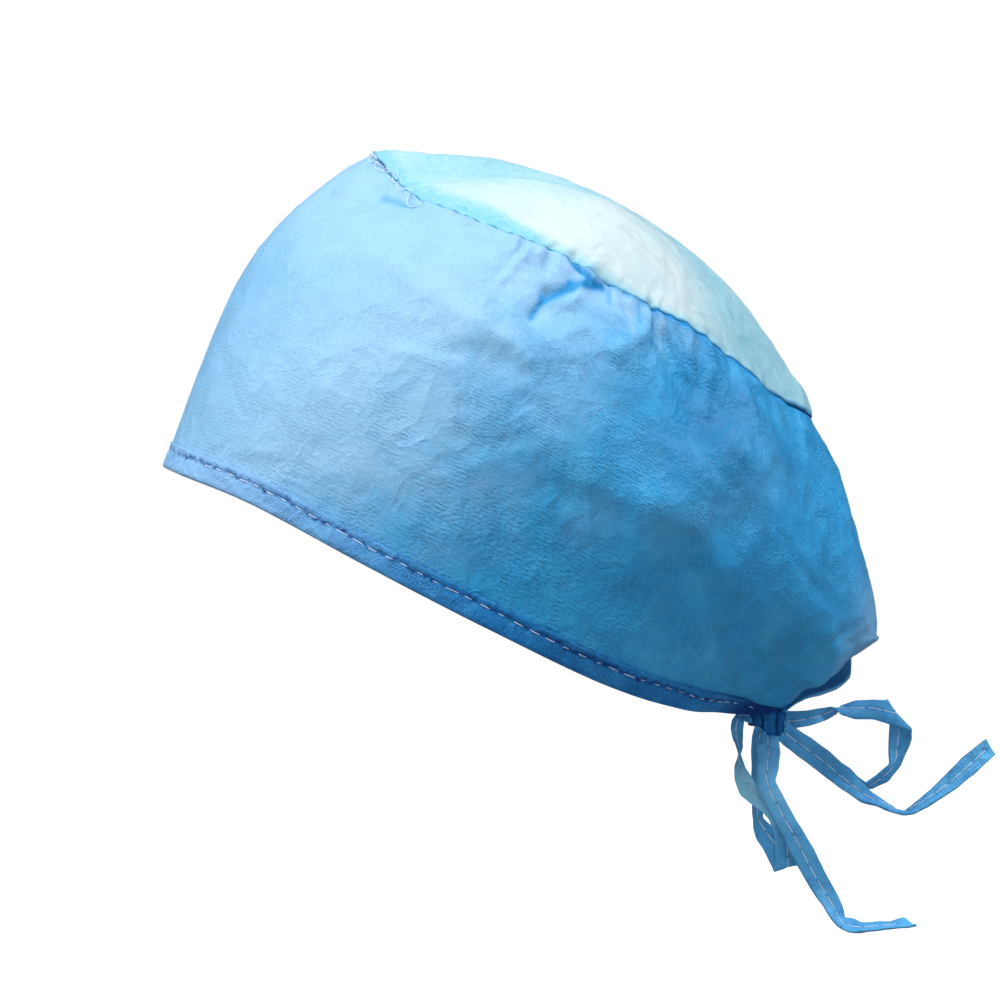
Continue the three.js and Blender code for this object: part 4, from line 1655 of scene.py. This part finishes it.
@dataclass
class SidePanel:
    """Blue cloth round the head, from the rim to the crown seam, slit at the nape."""

    form: CapForm
    wall: float = 0.35 * MM
    columns: int = 629
    back_columns: int = 3
    slit_rows: int = 32
    rows: int = 106
    thin_gap: float = 0.5 * MM
    wide_gap: float = 1.9 * MM
    allowance: float = 3.5 * MM
    knot_reach: float = 12 * MM
    darkest: float = 0.96
    seed: int = 11
    folds: list[Fold] = field(default_factory=list)

    def __post_init__(self) -> None:
        """Draws the seeded gathers and creases."""
        self.folds = [*FINE_FOLDS, *self.puckers()]

    def puckers(self) -> list[Fold]:
        """Short gathers below the crown seam and small creases over the whole panel.

        Returns:
            Seeded folds for both sides.
        """
        random = np.random.default_rng(self.seed)
        folds = []
        for side in Side:
            place = 0.03
            while place < 0.97:
                length = random.uniform(0.03, 0.13)
                slant = random.uniform(-0.035, 0.02)
                width = random.uniform(1.4, 2.6)
                calm = 0.4 if place < 0.38 else 1.0
                depth = calm * random.uniform(0.3, 0.9) * random.choice([-1, 1])
                ends = (place, min(max(place + slant, 0.0), 1.0))
                form = SOFT if random.uniform() < 0.5 else CREASE
                folds.append(Fold(side, ends, (1.0, 1 - length), width, depth, form))
                place += random.uniform(0.014, 0.036)
            for _ in range(80):
                around, height = random.uniform(0.02, 0.98), random.uniform(0.1, 0.95)
                angle, reach = random.uniform(-0.9, 0.9), random.uniform(0.02, 0.07)
                ends = (around, min(max(around + reach * math.cos(angle), 0), 1))
                heights = (height, height + reach * 2.2 * math.sin(angle))
                calm = 0.5 if around < 0.3 else 1.0
                depth = calm * random.uniform(0.15, 0.5) * random.choice([-1, 1])
                form = (CREASE, LAP, SOFT)[random.integers(3)]
                folds.append(Fold(side, ends, heights, random.uniform(1.8, 4.5), depth, form))
        return folds

    def relief(self, around: Array, height: Array, plain: Array) -> Array:
        """How far the finished cloth stands off the plain form.

        Args:
            around: places round the head.
            height: places up the panel.
            plain: plain points there.

        Returns:
            Distances along the normal in metres.
        """
        form = self.form
        broad = form.folds(BROAD_FOLDS, around, height) * smooth(height, *form.rim_fade)
        fine = form.folds(self.folds, around, height)
        calm = 0.45 + 0.55 * smooth(np.abs(around), 0.12, 0.45)
        soft = 0.6 * MM * crumple(plain, 16 * MM, self.seed)
        soft = soft + 0.24 * MM * crumple(plain, 6.5 * MM, self.seed + 9)
        flare = form.flare(around) * bell(height, 0.13)
        return broad + (fine + soft * calm) * smooth(height, 0.05, 0.13) + flare

    def surface(self, around: Array, height: Array) -> Array:
        """Points of the finished outer face.

        Args:
            around: from -1 to 1.
            height: from 0 to 1.

        Returns:
            Points in metres.
        """
        around, height = np.broadcast_arrays(around, height)
        plain = self.form.plain(around, height)
        normal = self.form.normal(around, height)
        return plain + normal * self.relief(around, height, plain)[..., None]

    def seam_frame(self, around: Array) -> tuple[Array, Array, Array]:
        """Edge of the panel at the crown seam, the way up there and the way out.

        Args:
            around: places round the head.

        Returns:
            The three, for each place.
        """
        top = np.ones_like(around)
        edge = self.surface(around, top)
        rising = unit(self.form.plain(around, top) - self.form.plain(around, 0.98 * top))
        return edge, rising, self.form.normal(around, top)

    def seam_gap(self, around: Array) -> Array:
        """Width of the groove between the panel and the crown, wide over the back half.

        Args:
            around: places round the head.

        Returns:
            Widths in metres.
        """
        place = np.abs(around)
        wide = smooth(place, 0.60, 0.72) * (1 - smooth(place, 0.90, 0.97))
        ripple = 0.5 + 0.5 * np.sin(place * 232 + 1.7 * np.sin(place * 61))
        return self.thin_gap * (0.4 + ripple) + wide * (self.wide_gap - 0.5 * MM * ripple)

    def seam_turn(self, around: Array) -> tuple[Array, Array]:
        """Cloth past the panel's top edge: into the groove, under the crown and down inside.

        Args:
            around: places round the head.

        Returns:
            Outer points and inner points by column and row.
        """
        edge, rising, outward = self.seam_frame(around)
        gap = self.seam_gap(around)
        turns, out, up, reach, drop, tuck = np.array(SEAM_TURN, float).T
        out, up, drop, tuck = out * MM, up * MM, drop * self.allowance, tuck * MM
        up = up[None] + tuck[None] * smooth(np.abs(around), 0.90, 0.95)[:, None]
        rise = up + gap[:, None] * reach[None] - drop[None]
        points = edge[:, None] + outward[:, None] * out[None, :, None] + rising[:, None] * rise[..., None]
        angle = np.radians(turns)[None, :, None]
        facing = outward[:, None] * np.cos(angle) + rising[:, None] * np.sin(angle)
        return points, points - facing * self.wall

    def masks(self, around: Array, height: Array, outer: Array) -> dict[str, Array]:
        """What the panel's finish reads: painted shade in the seam groove, in creases, by the knot and over
        the lower back, and painted light over the front.

        Args:
            around: places round the head.
            height: places up the panel.
            outer: points of its outer face.

        Returns:
            The masks by name.
        """
        form = self.form
        back = smooth(np.abs(around), 0.50, 0.62)
        # Painted shade in the seam groove, wider over the back.
        groove = 0.5 * smooth(height, 1.0, 1.008) + 0.45 * back * smooth(height, 0.984, 0.996)
        # Painted shade round the slit's foot by the knot, on the left side only.
        knot = 0.4 * bell(form.from_foot(around, height), self.knot_reach) * (around > 0)
        stray = 0.04 * crumple(outer, 18 * MM, self.seed + 20) + 0.02 * crumple(outer, 6 * MM, self.seed + 30)
        place = np.abs(around) + stray
        # Painted light over the front and top of the panel, paler where the key light falls.
        painted_light = 0.68 * smooth(read_table(height, PAINTED_LIGHT_REACH) - place, -0.11, 0.10)
        painted_light = painted_light + 0.32 * smooth(read_table(height, PAINTED_LIGHT_WIDE) - place, -0.08, 0.08)
        painted_light = painted_light * (1 - 0.27 * bell(around, 0.24) * (1 - smooth(height, 0.55, 0.8)))
        painted_light = np.clip(painted_light + form.folds(PAINTED_LIGHT_TONES, around, height) / MM, 0, 1)
        # dark carries painted shade over the lower back and broad folds; blue carries painted shade in the
        # creases at the seam.
        dark, blue = (
            np.clip(form.folds(rows, around, height) / MM, 0, self.darkest)
            for rows in (PAINTED_SHADE_TONES, PAINTED_CREASE_SHADE)
        )
        return {"shade": np.maximum(np.maximum(groove, knot), blue), "painted_light": painted_light, "dark": dark}

    def build(self, cloth: Material) -> Object:
        """Makes the panel.

        Args:
            cloth: its finish.

        Returns:
            The panel.
        """
        form = self.form
        focus = [(side * place, reach, gain) for side in (-1, 1) for place, reach, gain in PANEL_FOCUS]
        places = spaced(self.columns, -1, 1, focus)
        low = spaced(self.slit_rows + 1, 0, form.slit, [(0.0, 0.06, 1.0)])
        high = spaced(self.rows - self.slit_rows + 1, form.slit, 1, [(1.0, 0.2, 1.3)])
        heights = np.concatenate([low, high[1:]])
        around, height = np.meshgrid(places, heights, indexing="ij")
        plain, normal = form.plain(around, height), form.normal(around, height)
        relief = self.relief(around, height, plain)
        edges = slit_shift(form, around, height)
        outer = plain + normal * relief[..., None] + edges
        inner = plain + normal * (lowest_near(relief) - self.wall)[..., None] + edges
        turned, lining = self.seam_turn(places)
        outer = np.concatenate([outer, turned], axis=1)
        inner = np.concatenate([inner, lining], axis=1)
        past = np.linspace(1.004, 1.05, turned.shape[1])
        height = np.concatenate([height, np.tile(past, (len(places), 1))], axis=1)
        around = np.repeat(places[:, None], height.shape[1], axis=1)

        share = np.linspace(0, 1, self.back_columns + 2)[1:-1, None, None]
        outer = np.concatenate([outer, outer[-1] * (1 - share) + outer[0] * share])
        inner = np.concatenate([inner, inner[-1] * (1 - share) + inner[0] * share])
        around = np.concatenate([around, np.ones((self.back_columns, around.shape[1]))])
        height = np.concatenate([height, np.repeat(height[:1], self.back_columns, axis=0)])
        present = np.ones((outer.shape[0], outer.shape[1] - 1), bool)
        present[self.columns - 1 :, : self.slit_rows] = False
        masks = self.masks(around, height, outer)
        shape = walled(outer, inner[::2, ::2], present, form.cloth_place(around, height), masks)
        return dress(shape.build("side_panel_cloth", cloth), Slot.PANEL, "side_panel")


@dataclass(frozen=True)
class SlitEdge:
    """How one edge of the slit is moved: height, and millimetres back and up, from its foot."""

    side: Side
    rows: tuple[Triple, ...]
    reach: float
    above: float


SLIT_EDGES = (
    SlitEdge(
        Side.LEFT,
        (
            (0, 0, 0), (0.071, -0.2, -0.9), (0.143, 0.6, 3.5), (0.214, 0.8, 7.3),
            (0.262, 2.5, 6.3), (0.286, 3.6, 5.6),
        ),
        22,
        5,
    ),
    SlitEdge(
        Side.RIGHT,
        (
            (0, 0, 0), (0.071, -1.9, -4), (0.143, 0.2, -1.6), (0.214, 1.5, 2),
            (0.238, -0.9, 3.6), (0.262, -3.1, 4.3), (0.286, -0.4, 4.7),
        ),
        9,
        6,
    ),
)


def slit_shift(form: CapForm, around: Array, height: Array) -> Array:
    """Shifts that give the two edges of the slit their own lines.

    Args:
        form: the cap's form.
        around: places round the head.
        height: places up the panel.

    Returns:
        Shifts in metres.
    """
    total = np.zeros(around.shape + (3,))
    for edge in SLIT_EDGES:
        knots, back, up = np.array(edge.rows, float).T
        away = (1 - around * edge.side.value) * form.panel_length / (edge.reach * MM)
        above = np.maximum(height - form.slit, 0) * form.panel_height / (edge.above * MM)
        share = np.exp(-(away**2) - above**2) * (around * edge.side.value > 0)
        total[..., 1] += share * np.interp(height, knots, back) * MM
        total[..., 2] += share * np.interp(height, knots, up) * MM
    return total


@dataclass(frozen=True)
class Swell:
    """Soft bump of the crown: place and reach across and along it, and height, in millimetres."""

    place: tuple[float, float]
    reach: tuple[float, float]
    depth: float


CROWN_SWELLS = (
    Swell((0, -73), (16, 7), 2.2),
    Swell((0, 74), (14, 8), 1.6),
    Swell((30, 8), (12, 30), 0.8),
    Swell((-28, -4), (12, 30), 0.8),
    Swell((22, 48), (8, 12), -0.9),
    Swell((34, 30), (5, 9), -0.8),
    Swell((-24, 40), (8, 14), -0.9),
    Swell((10, 62), (6, 6), -0.7),
)


# Row of the crown that each row of the turned hem lies under, how far under and below it in
# millimetres, and how far its face has turned in degrees.
HEM_ROWS = (
    (7, 0.75, 0.0, 180.0),
    (4, 0.75, 0.0, 180.0),
    (2, 0.72, 0.0, 180.0),
    (1, 0.68, 0.0, 170.0),
    (0, 0.55, 0.08, 130.0),
    (0, 0.25, 0.14, 70.0),
)


@dataclass
class Crown:
    """Pale oval of thin cloth that closes the top and is sewn to the panel."""

    form: CapForm
    panel: SidePanel
    wall: float = 0.28 * MM
    sunk: float = 0.6 * MM
    columns: int = 480
    rows: int = 100
    crowding: float = 1.15
    last_ring: float = 0.997
    seed: int = 31

    def axes(self) -> tuple[Array, Array, Array]:
        """Middle of the crown, the way up and the way back along it."""
        middle, upward = self.form.seam_plane()
        return middle, upward, np.cross(upward, np.array([-1.0, 0, 0]))

    def surface(self, around: Array, inward: Array) -> tuple[Array, Array]:
        """Outer face of the crown.

        Args:
            around: places round the seam, by column.
            inward: from 0 at the seam to 1 at the middle, by row.

        Returns:
            Points and normals by column and row.
        """
        middle, upward, backward = self.axes()
        edge, rising, outward = self.panel.seam_frame(around)
        gap = self.panel.seam_gap(around)[:, None]
        seam = edge + rising * (gap + 0.25 * MM) - outward * self.sunk
        arm = self.form.plain(around, np.ones_like(around)) - outward * self.sunk - middle
        height = arm @ upward
        flat = arm - height[:, None] * upward
        spread = 1 - inward
        rise = self.form.rise * (1 - spread**self.form.fullness)[None]
        rise = rise + height[:, None] * (spread**3)[None]
        grid = middle + flat[:, None] * spread[None, :, None] + upward * rise[..., None]
        fade = spread * np.exp(-inward / 0.06)
        grid = grid + (seam - arm - middle)[:, None] * fade[None, :, None]
        across, along = (grid - middle)[..., 0], (grid - middle) @ backward
        ring, depth = np.meshgrid(around, inward, indexing="ij")
        off = np.zeros(ring.shape)
        for swell in CROWN_SWELLS:
            x = (across / MM - swell.place[0]) / swell.reach[0]
            y = (along / MM - swell.place[1]) / swell.reach[1]
            off += swell.depth * MM * np.exp(-(x**2) - y**2)
        drawn = np.stack([across, along * 0.26, 0 * along], axis=-1)
        off += 0.55 * MM * crumple(drawn, 8 * MM, self.seed) * smooth(depth, 0, 0.12)
        off += 0.30 * MM * crumple(grid, 7 * MM, self.seed + 7) * smooth(depth, 0, 0.05)
        bend = 3 * lattice_noise(grid, 16 * MM, 3)
        off += 0.22 * MM * np.sin(ring * 210 + bend) * bell(depth, 0.07) * smooth(depth, 0, 0.02)
        quads = grid_quads(len(around), len(inward), closed=True)
        normals = vertex_normals(grid.reshape(-1, 3), quads).reshape(grid.shape)
        points = grid + normals * off[..., None]
        return points, vertex_normals(points.reshape(-1, 3), quads).reshape(grid.shape)

    def masks(self, place: Array, depth: Array, wobble: Array) -> dict[str, Array]:
        """What the crown's finish reads: its hem, its painted highlight, and painted shade along its seam.

        Args:
            place: places round the seam, from 0 at the forehead to 1 at the back.
            depth: places in from the seam, below 0 on the hem.
            wobble: noise that makes the edges uneven.

        Returns:
            The masks by name.
        """
        front = 1 - smooth(place, 0.38, 0.48)
        hem_width = (0.06 + 0.025 * wobble + 0.05 * bell(place - 0.3, 0.1)) * (0.3 + 0.7 * front)
        limit = 0.45 + 0.50 * smooth(place, 0.14, 0.36)
        # Painted highlight: a near-white glow over the crown's front and middle.
        glow = smooth(depth - 0.04 * front, 0.0, 0.09) * smooth(-depth, -limit, 0.4 - limit)
        glow = glow * smooth(-place, -0.86, -0.66) * smooth(place, 0.09, 0.21)
        glow = glow * (0.68 + 0.32 * smooth(place, 0.31, 0.43))
        shade = smooth(-depth, -0.004, 0.004) * 0.7
        return {
            "hem": np.clip(1 - depth / hem_width, 0, 1) ** 0.5 * 0.9,
            "glow": np.clip(glow * (1 + 0.25 * wobble), 0, 1),
            "shade": np.maximum(shade, 0.75 * smooth(-depth, -0.022, -0.004) * smooth(place, 0.5, 0.62)),
        }

    def build(self, cloth: Material) -> Object:
        """Makes the crown.

        Args:
            cloth: its finish.

        Returns:
            The crown.
        """
        places = np.linspace(-1, 1, self.columns, endpoint=False)
        inward = np.linspace(0, 1, self.rows + 1) ** self.crowding
        inward[-1] = self.last_ring
        grid, normals = self.surface(places, inward)
        _, rising, _ = self.panel.seam_frame(places)
        hem, hem_normals = [], []
        for row, under, down, turn in HEM_ROWS:
            normal, angle = normals[:, row], math.radians(turn)
            hem.append(grid[:, row] - normal * under * MM - rising * down * MM)
            hem_normals.append(unit(normal * math.cos(angle) - rising * math.sin(angle)))
        outer = np.concatenate([np.stack(hem, axis=1), grid], axis=1)
        inner = outer - np.concatenate([np.stack(hem_normals, axis=1), normals], axis=1) * self.wall
        middle, _, backward = self.axes()
        cloth_place = np.stack([(outer - middle)[..., 0], (outer - middle) @ backward], axis=-1)[..., ::-1]
        depth = np.concatenate([-np.linspace(0.05, 0.002, len(HEM_ROWS)), inward])
        ring, depth = np.meshgrid(places, depth, indexing="ij")
        present = np.ones((outer.shape[0], outer.shape[1] - 1), bool)
        masks = self.masks(np.abs(ring), depth, lattice_noise(outer, 12 * MM, self.seed + 3))
        shape = walled(outer, inner[::2, ::2], present, cloth_place, masks)
        return dress(shape.build("crown_cloth", cloth), Slot.CROWN, "crown_top")


# Shares of the binding's height at which its two faces have points.
BINDING_LEVELS = (0.06, 0.16, 0.28, 0.40, 0.50, 0.58, 0.64, 0.70, 0.78, 0.88, 0.95)


@dataclass
class RimBinding:
    """Folded strip sewn round the rim."""

    form: CapForm
    height: float = 7.5 * MM
    end_height: float = 3.0 * MM
    gap: float = 0.12 * MM
    wall: float = 0.75 * MM
    panel_wall: float = 0.4 * MM
    columns: int = 1300
    stitch_height: float = 5.0 * MM
    stitching: Stitching = Stitching(5.5 * MM, 4.7 * MM, 0.17 * MM, uneven=0.7)
    sunk: float = 0.42 * MM
    last_stitch: float = 0.955
    stitch_steps: int = 1400
    seed: int = 71

    def outline(self) -> tuple[Array, Array]:
        """Outline of the folded strip: distances out of the panel and shares of its height.

        Returns:
            The distances and the shares.
        """
        gap, wall = self.gap, self.wall
        outer, inner = gap + wall, -self.panel_wall - gap
        outline = [
            (outer * 0.6, -0.06),
            *((outer, level) for level in BINDING_LEVELS),
            (outer * 0.8, 1.0),
            (gap * 1.2, 0.985),
            (gap, 0.93),
            (gap * 0.5, 0.02),
            (inner + gap * 0.5, 0.02),
            (inner, 0.93),
            (inner, 0.985),
            (inner - 0.2 * wall, 1.0),
            *((inner - wall, level) for level in reversed(BINDING_LEVELS)),
            (inner - wall * 0.5, -0.06),
            ((outer + inner - wall) / 2, -0.1),
        ]
        out, lift = np.array(outline).T
        return out, lift

    def surface(self, around: Array, out: Array, lift: Array) -> Array:
        """Points of the strip.

        Args:
            around: places round the head, by column.
            out: distances out of the panel, by outline point.
            lift: shares of the strip's height, by outline point.

        Returns:
            Points by column and outline point.
        """
        form = self.form
        narrow = smooth(np.abs(around), 0.88, 1.0)
        height = self.height + (self.end_height - self.height) * narrow
        rim = form.plain(around, np.zeros_like(around))
        length = np.linalg.norm(form.plain(around, 0.1 + 0 * around) - rim, axis=1) / 0.1
        rise = height[:, None] * lift[None]
        level = rise / length[:, None]
        ring = np.repeat(around[:, None], len(lift), axis=1)
        base = form.plain(ring, np.maximum(level, 0))
        normal = form.normal(ring, np.maximum(level, 0))
        upward = unit(form.plain(around, 0.02 + 0 * around) - rim)
        base = base + upward[:, None] * np.minimum(rise, 0)[..., None]
        run = ring * form.panel_length
        stitch = self.stitch_height / self.height
        near = bell((lift - stitch) * self.height, 0.8 * MM)
        hole = (0.5 + 0.5 * np.cos(2 * math.pi * run / self.stitching.pitch)) ** 3
        sign = np.sign(out + self.panel_wall / 2)[None]
        dent = -sign * near[None] * (0.22 + 0.22 * hole) * MM
        puff = sign * (0.16 * MM) * lattice_noise(base, 3.2 * MM, self.seed) * smooth(lift, -0.1, 0.2)[None]
        ripple = 0.35 * MM * lattice_noise(base, 15 * MM, self.seed + 1) * (1 - smooth(lift, 0.0, 0.6))[None]
        flat = 1 - 0.65 * bell(ring, 0.15) * (out > 0)[None]
        return base + normal * (out[None] * flat + dent + puff + ripple + form.flare(ring))[..., None]

    def stray(self, points: Array) -> Array:
        """How far the row of stitches strays down from its line."""
        return 0.4 * MM * lattice_noise(points, 9 * MM, self.seed + 6)

    def build(self, cloth: Material, thread: Material) -> list[Object]:
        """Makes the strip and its stitches.

        Args:
            cloth: finish of the strip.
            thread: finish of the stitches.

        Returns:
            The strip and its stitches.
        """
        out, lift = self.outline()
        places = np.linspace(-1, 1, self.columns)
        grid = self.surface(places, out, lift)
        count, points = grid.shape[:2]
        run = places * self.form.panel_length
        inside = 2.2 * self.height * (out < -self.panel_wall / 2)
        cloth_place = together(run[:, None], (lift * self.height + inside)[None])
        stitch = self.stitch_height / self.height
        rim = grid[:, 0]
        # Painted shade: a patchy dark line along the stitches, weaker at the front, darker ends by the knot
        # and more towards the back.
        ragged = 0.75 * MM * lattice_noise(rim, 1.2 * MM, self.seed + 7)
        away = (lift - stitch)[None] * self.height + self.stray(rim)[:, None]
        line = bell(away + ragged[:, None] - 0.25 * MM, 0.6 * MM)
        patchy = 0.72 + 0.5 * lattice_noise(rim, 1.4 * MM, self.seed + 8)
        shade = line * (patchy * (0.35 + 0.65 * smooth(np.abs(places), 0.04, 0.12)))[:, None]
        end_shade = np.where(places > 0, 0.85, 0.30) * smooth(np.abs(places), 0.84, 0.93)
        shade = np.maximum(shade, end_shade[:, None])
        shade = np.clip(shade + 0.22 * smooth(np.abs(places), 0.38, 0.56)[:, None], 0, 1)
        # Painted light: the binding paler towards the forehead.
        painted_light = np.repeat(smooth(-np.abs(places), -0.50, -0.16), points)
        masks = {"shade": shade.ravel(), "painted_light": painted_light}
        shape = Shape(grid.reshape(-1, 3), strip_quads(count, points), cloth_place.reshape(-1, 2), masks)
        strip = dress(shape.build("rim_binding_cloth", cloth), Slot.BINDING, "rim_binding")
        rows = []
        seen = np.linspace(-self.last_stitch, self.last_stitch, self.stitch_steps)
        front = self.sunk * smooth(-np.abs(seen), -0.19, -0.12)
        faces = ((self.gap + self.wall, 1), (-self.panel_wall - self.gap - self.wall, -1))
        for number, (face, sign) in enumerate(faces):
            line = self.surface(seen, np.array([face]), np.array([stitch]))[:, 0]
            line = line - [0, 0, 1] * self.stray(self.form.plain(seen, 0 * seen))[:, None]
            normals = self.form.normal(seen, 0.04 + 0 * seen) * sign
            line = line - normals * (front + 0.04 * MM)[:, None]
            rows.append(running_stitches(line, normals, self.stitching, self.seed + number))
        return [strip, dress(Shape.joined(rows).build("rim_stitches", thread), Slot.THREAD)]


# ==== Knot and loose threads ====


@dataclass(frozen=True)
class Wrap:
    """One turn of the tie round the knot, in millimetres and degrees."""

    size: tuple[float, float]
    shift: Triple
    width: float
    tilt: float
    yaw: float


WRAPS = (
    Wrap((12.4, 11.0), (0.0, -0.9, 2.2), 4.6, 1.0, 2.0),
    Wrap((9.4, 7.4), (0.2, 2.7, 1.2), 3.2, -5.0, -4.0),
    Wrap((9.0, 6.2), (0.4, -4.4, 2.9), 5.0, 9.0, 8.0),
)


@dataclass
class Knot:
    """Tight knot where the two ends of the binding are tied."""

    thickness: float = 0.9 * MM
    steps: int = 120
    across_points: int = 17
    hollow: float = 0.9
    pinch: float = 0.16
    core_size: Triple = (4.6, 4.4, 3.8)
    core_grid: tuple[int, int] = (44, 72)
    core_pleats: int = 7
    core_shade: float = 0.8
    seed: int = 83

    def wrap(self, row: Wrap, centre: Array, seed: int) -> Shape:
        """One closed turn of ribbon.

        Args:
            row: sizes of the turn.
            centre: middle of the knot.
            seed: seed of its crumple.

        Returns:
            The turn's closed body.
        """
        angle = np.linspace(0, 2 * math.pi, self.steps, endpoint=False)
        tilt, yaw = math.radians(row.tilt), math.radians(row.yaw)
        (cos_tilt, sin_tilt), (cos_yaw, sin_yaw) = ((math.cos(turn), math.sin(turn)) for turn in (tilt, yaw))
        turn_x = np.array([[1, 0, 0], [0, cos_tilt, -sin_tilt], [0, sin_tilt, cos_tilt]])
        turn_z = np.array([[cos_yaw, -sin_yaw, 0], [sin_yaw, cos_yaw, 0], [0, 0, 1]])
        turn = turn_z @ turn_x
        squarish = (np.abs(np.cos(angle)) ** 3 + np.abs(np.sin(angle)) ** 3) ** (-1 / 3)
        share = np.linspace(-1, 1, self.across_points)
        wide, tall = row.size[0] / 2, row.size[1] / 2
        ring = together(np.cos(angle) * squarish * wide, 0, np.sin(angle) * squarish * tall)
        out = unit(ring)
        pinch = 1 - self.pinch * np.cos(2 * angle + 0.6)
        body = ring[:, None] - out[:, None] * (share**2 * self.hollow)[None, :, None]
        body[..., 1] += share[None] * row.width / 2 * pinch[:, None]
        surface = (body * MM) @ turn.T + centre + np.array(row.shift) * MM
        out = out @ turn.T
        bend = share * row.width * 1.1 + 1.6 * np.sin(angle)[:, None] + seed
        folds = 0.26 * MM * np.sin(bend) * (1 - share**2)
        folds = folds + 0.28 * MM * lattice_noise(surface, 3.4 * MM, seed)
        outer = surface + out[:, None] * folds[..., None]
        inner = outer - out[:, None] * self.thickness
        both = np.concatenate([outer, inner[:, ::-1]], axis=1)
        quads = ring_quads(self.steps, both.shape[1], closed=True)
        run = angle * row.size[0] / 2 * MM
        across = np.concatenate([share, share[::-1]]) * row.width / 2 * MM
        cloth = together(run[:, None], across[None])
        depth = np.concatenate([np.abs(share) ** 4, np.ones_like(share)])
        shade = np.clip(0.35 + 0.45 * depth[None] + 0.2 * lattice_noise(both, 3 * MM, seed + 1), 0, 1)
        return Shape(both.reshape(-1, 3), quads, cloth.reshape(-1, 2), {"shade": shade.ravel()})

    def core(self, centre: Array) -> Shape:
        """Bunched cloth inside the turns, pleated towards them.

        Args:
            centre: middle of the knot.

        Returns:
            The bunch's closed body.
        """
        rings, sides = self.core_grid
        place = np.linspace(-1, 1, rings)
        angle = np.linspace(0, 2 * math.pi, sides, endpoint=False)
        radius = np.sqrt(np.clip(1 - np.abs(place) ** 2.6, 0.0004, 1))
        pleats = 0.10 * np.sin(angle[None] * self.core_pleats + 3 * place[:, None])
        ring = radius[:, None] * (1 + pleats * np.abs(place)[:, None])
        wide, deep, tall = self.core_size
        sideways, upward = np.cos(angle)[None] * ring * wide * MM, np.sin(angle)[None] * ring * tall * MM
        points = together(sideways, place[:, None] * deep * MM, upward)
        points = points + centre + 0.4 * MM * lattice_noise(points, 3 * MM, self.seed)[..., None]
        cloth = together(place[:, None] * 5 * MM, angle[None] * 4 * MM)
        masks = {"shade": np.full(rings * sides, self.core_shade)}
        return Shape(points.reshape(-1, 3), ring_quads(rings, sides), cloth.reshape(-1, 2), masks)

    def build(self, cloth: Material) -> Object:
        """Makes the knot.

        Args:
            cloth: its finish.

        Returns:
            The knot.
        """
        low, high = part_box("tie_knot")
        centre = np.array((low + high) / 2)
        turns = [self.wrap(row, centre, self.seed + 7 * k) for k, row in enumerate(WRAPS)]
        shape = Shape.joined([*turns, self.core(centre)])
        return dress(shape.build("tie_knot_cloth", cloth), Slot.BINDING, "tie_knot")


@dataclass
class SeamThreads:
    """Overlocked edge of the crown seam, with the loops that stand out at its front."""

    panel: SidePanel
    thread_radius: float = 0.14 * MM
    pitch: float = 2.6 * MM
    seam_share: float = 0.78
    steps_per_turn: int = 8
    last_place: float = 0.985
    seed: int = 97

    def overlock(self) -> Shape:
        """Zigzag of thread over the turned edges inside the seam.

        Returns:
            The thread's shape.
        """
        length = 2 * self.panel.form.panel_length * self.seam_share
        turns = int(length / self.pitch)
        steps = turns * self.steps_per_turn + 1
        places = np.linspace(-self.last_place, self.last_place, steps)
        edge, rising, outward = self.panel.seam_frame(places)
        phase = np.linspace(0, turns * 2 * math.pi, steps)
        across = -2.7 * MM + 0.4 * MM * np.cos(phase)
        down = -2.1 * MM + 1.6 * MM * np.sin(phase)
        line = edge + outward * across[:, None] + rising * down[:, None]
        return tubes(line[None], outward[None], np.full(steps, self.thread_radius))

    def loops(self) -> Shape:
        """Loops and ends of thread that have pulled out at the front of the seam.

        Returns:
            The threads' shape.
        """
        random = np.random.default_rng(self.seed)
        lines, lifts = [], []
        share = np.linspace(0, 1, 15)
        for start in np.linspace(0.035, 0.16, 11):
            reach = random.uniform(0.006, 0.016)
            drop = random.uniform(-2.2, 2.6) * MM
            around = start + reach * (share - 0.5) * 2 + random.uniform(-0.004, 0.004)
            edge, rising, outward = self.panel.seam_frame(around)
            arch = np.sin(math.pi * share)
            proud = (0.15 + random.uniform(0.5, 1.3) * arch) * MM
            curl = random.uniform(-0.8, 0.8) * MM * np.sin(2 * math.pi * share)
            line = edge + outward * proud[:, None] + rising * (drop * arch + curl + 0.4 * MM)[:, None]
            lines.append(line)
            lifts.append(outward)
        around = 0.168 + 0.042 * share
        edge, rising, outward = self.panel.seam_frame(around)
        arch = np.sin(math.pi * share) ** 0.7
        sag = -4.6 * MM * arch * (0.75 + 0.25 * share)
        lines.append(edge + outward * (0.25 * MM + 0.5 * MM * arch)[:, None] + rising * sag[:, None])
        lifts.append(outward)
        radii = np.full(len(share), self.thread_radius)
        return tubes(np.array(lines), np.array(lifts), radii)

    def build(self, thread: Material) -> list[Object]:
        """Makes the threads.

        Args:
            thread: their finish.

        Returns:
            The overlock thread and the loose loops.
        """
        shapes = {"crown_seam_overlock": self.overlock(), "crown_seam_loops": self.loops()}
        return [dress(shape.build(name, thread), Slot.THREAD) for name, shape in shapes.items()]


# ==== The cap ====


@dataclass
class SurgicalCap:
    """All pieces of the cap and the sheets that they are cut from."""

    groups: NodeGroups = field(default_factory=NodeGroups)

    def build(self) -> None:
        panel_cloth = PANEL_FINISH.build(self.groups)
        crown_cloth = CROWN_FINISH.build(self.groups)
        binding_cloth = BINDING_FINISH.build(self.groups)
        tie_cloth = TIE_FINISH.build(self.groups)
        thread = THREAD_FINISH.build(self.groups)

        Ties(tie_cloth, thread).build()
        Knot().build(binding_cloth)
        form = CapForm()
        panel = SidePanel(form)
        side = panel.build(panel_cloth)
        crown = Crown(form, panel).build(crown_cloth)
        binding = RimBinding(form).build(binding_cloth, thread)
        threads = SeamThreads(panel).build(thread)


def main() -> None:
    """Builds the studio and the cap."""
    logging.basicConfig(level=logging.INFO, format="%(name)s: %(message)s")
    Studio().build()
    SurgicalCap().build()


if __name__ == "__main__":
    main()
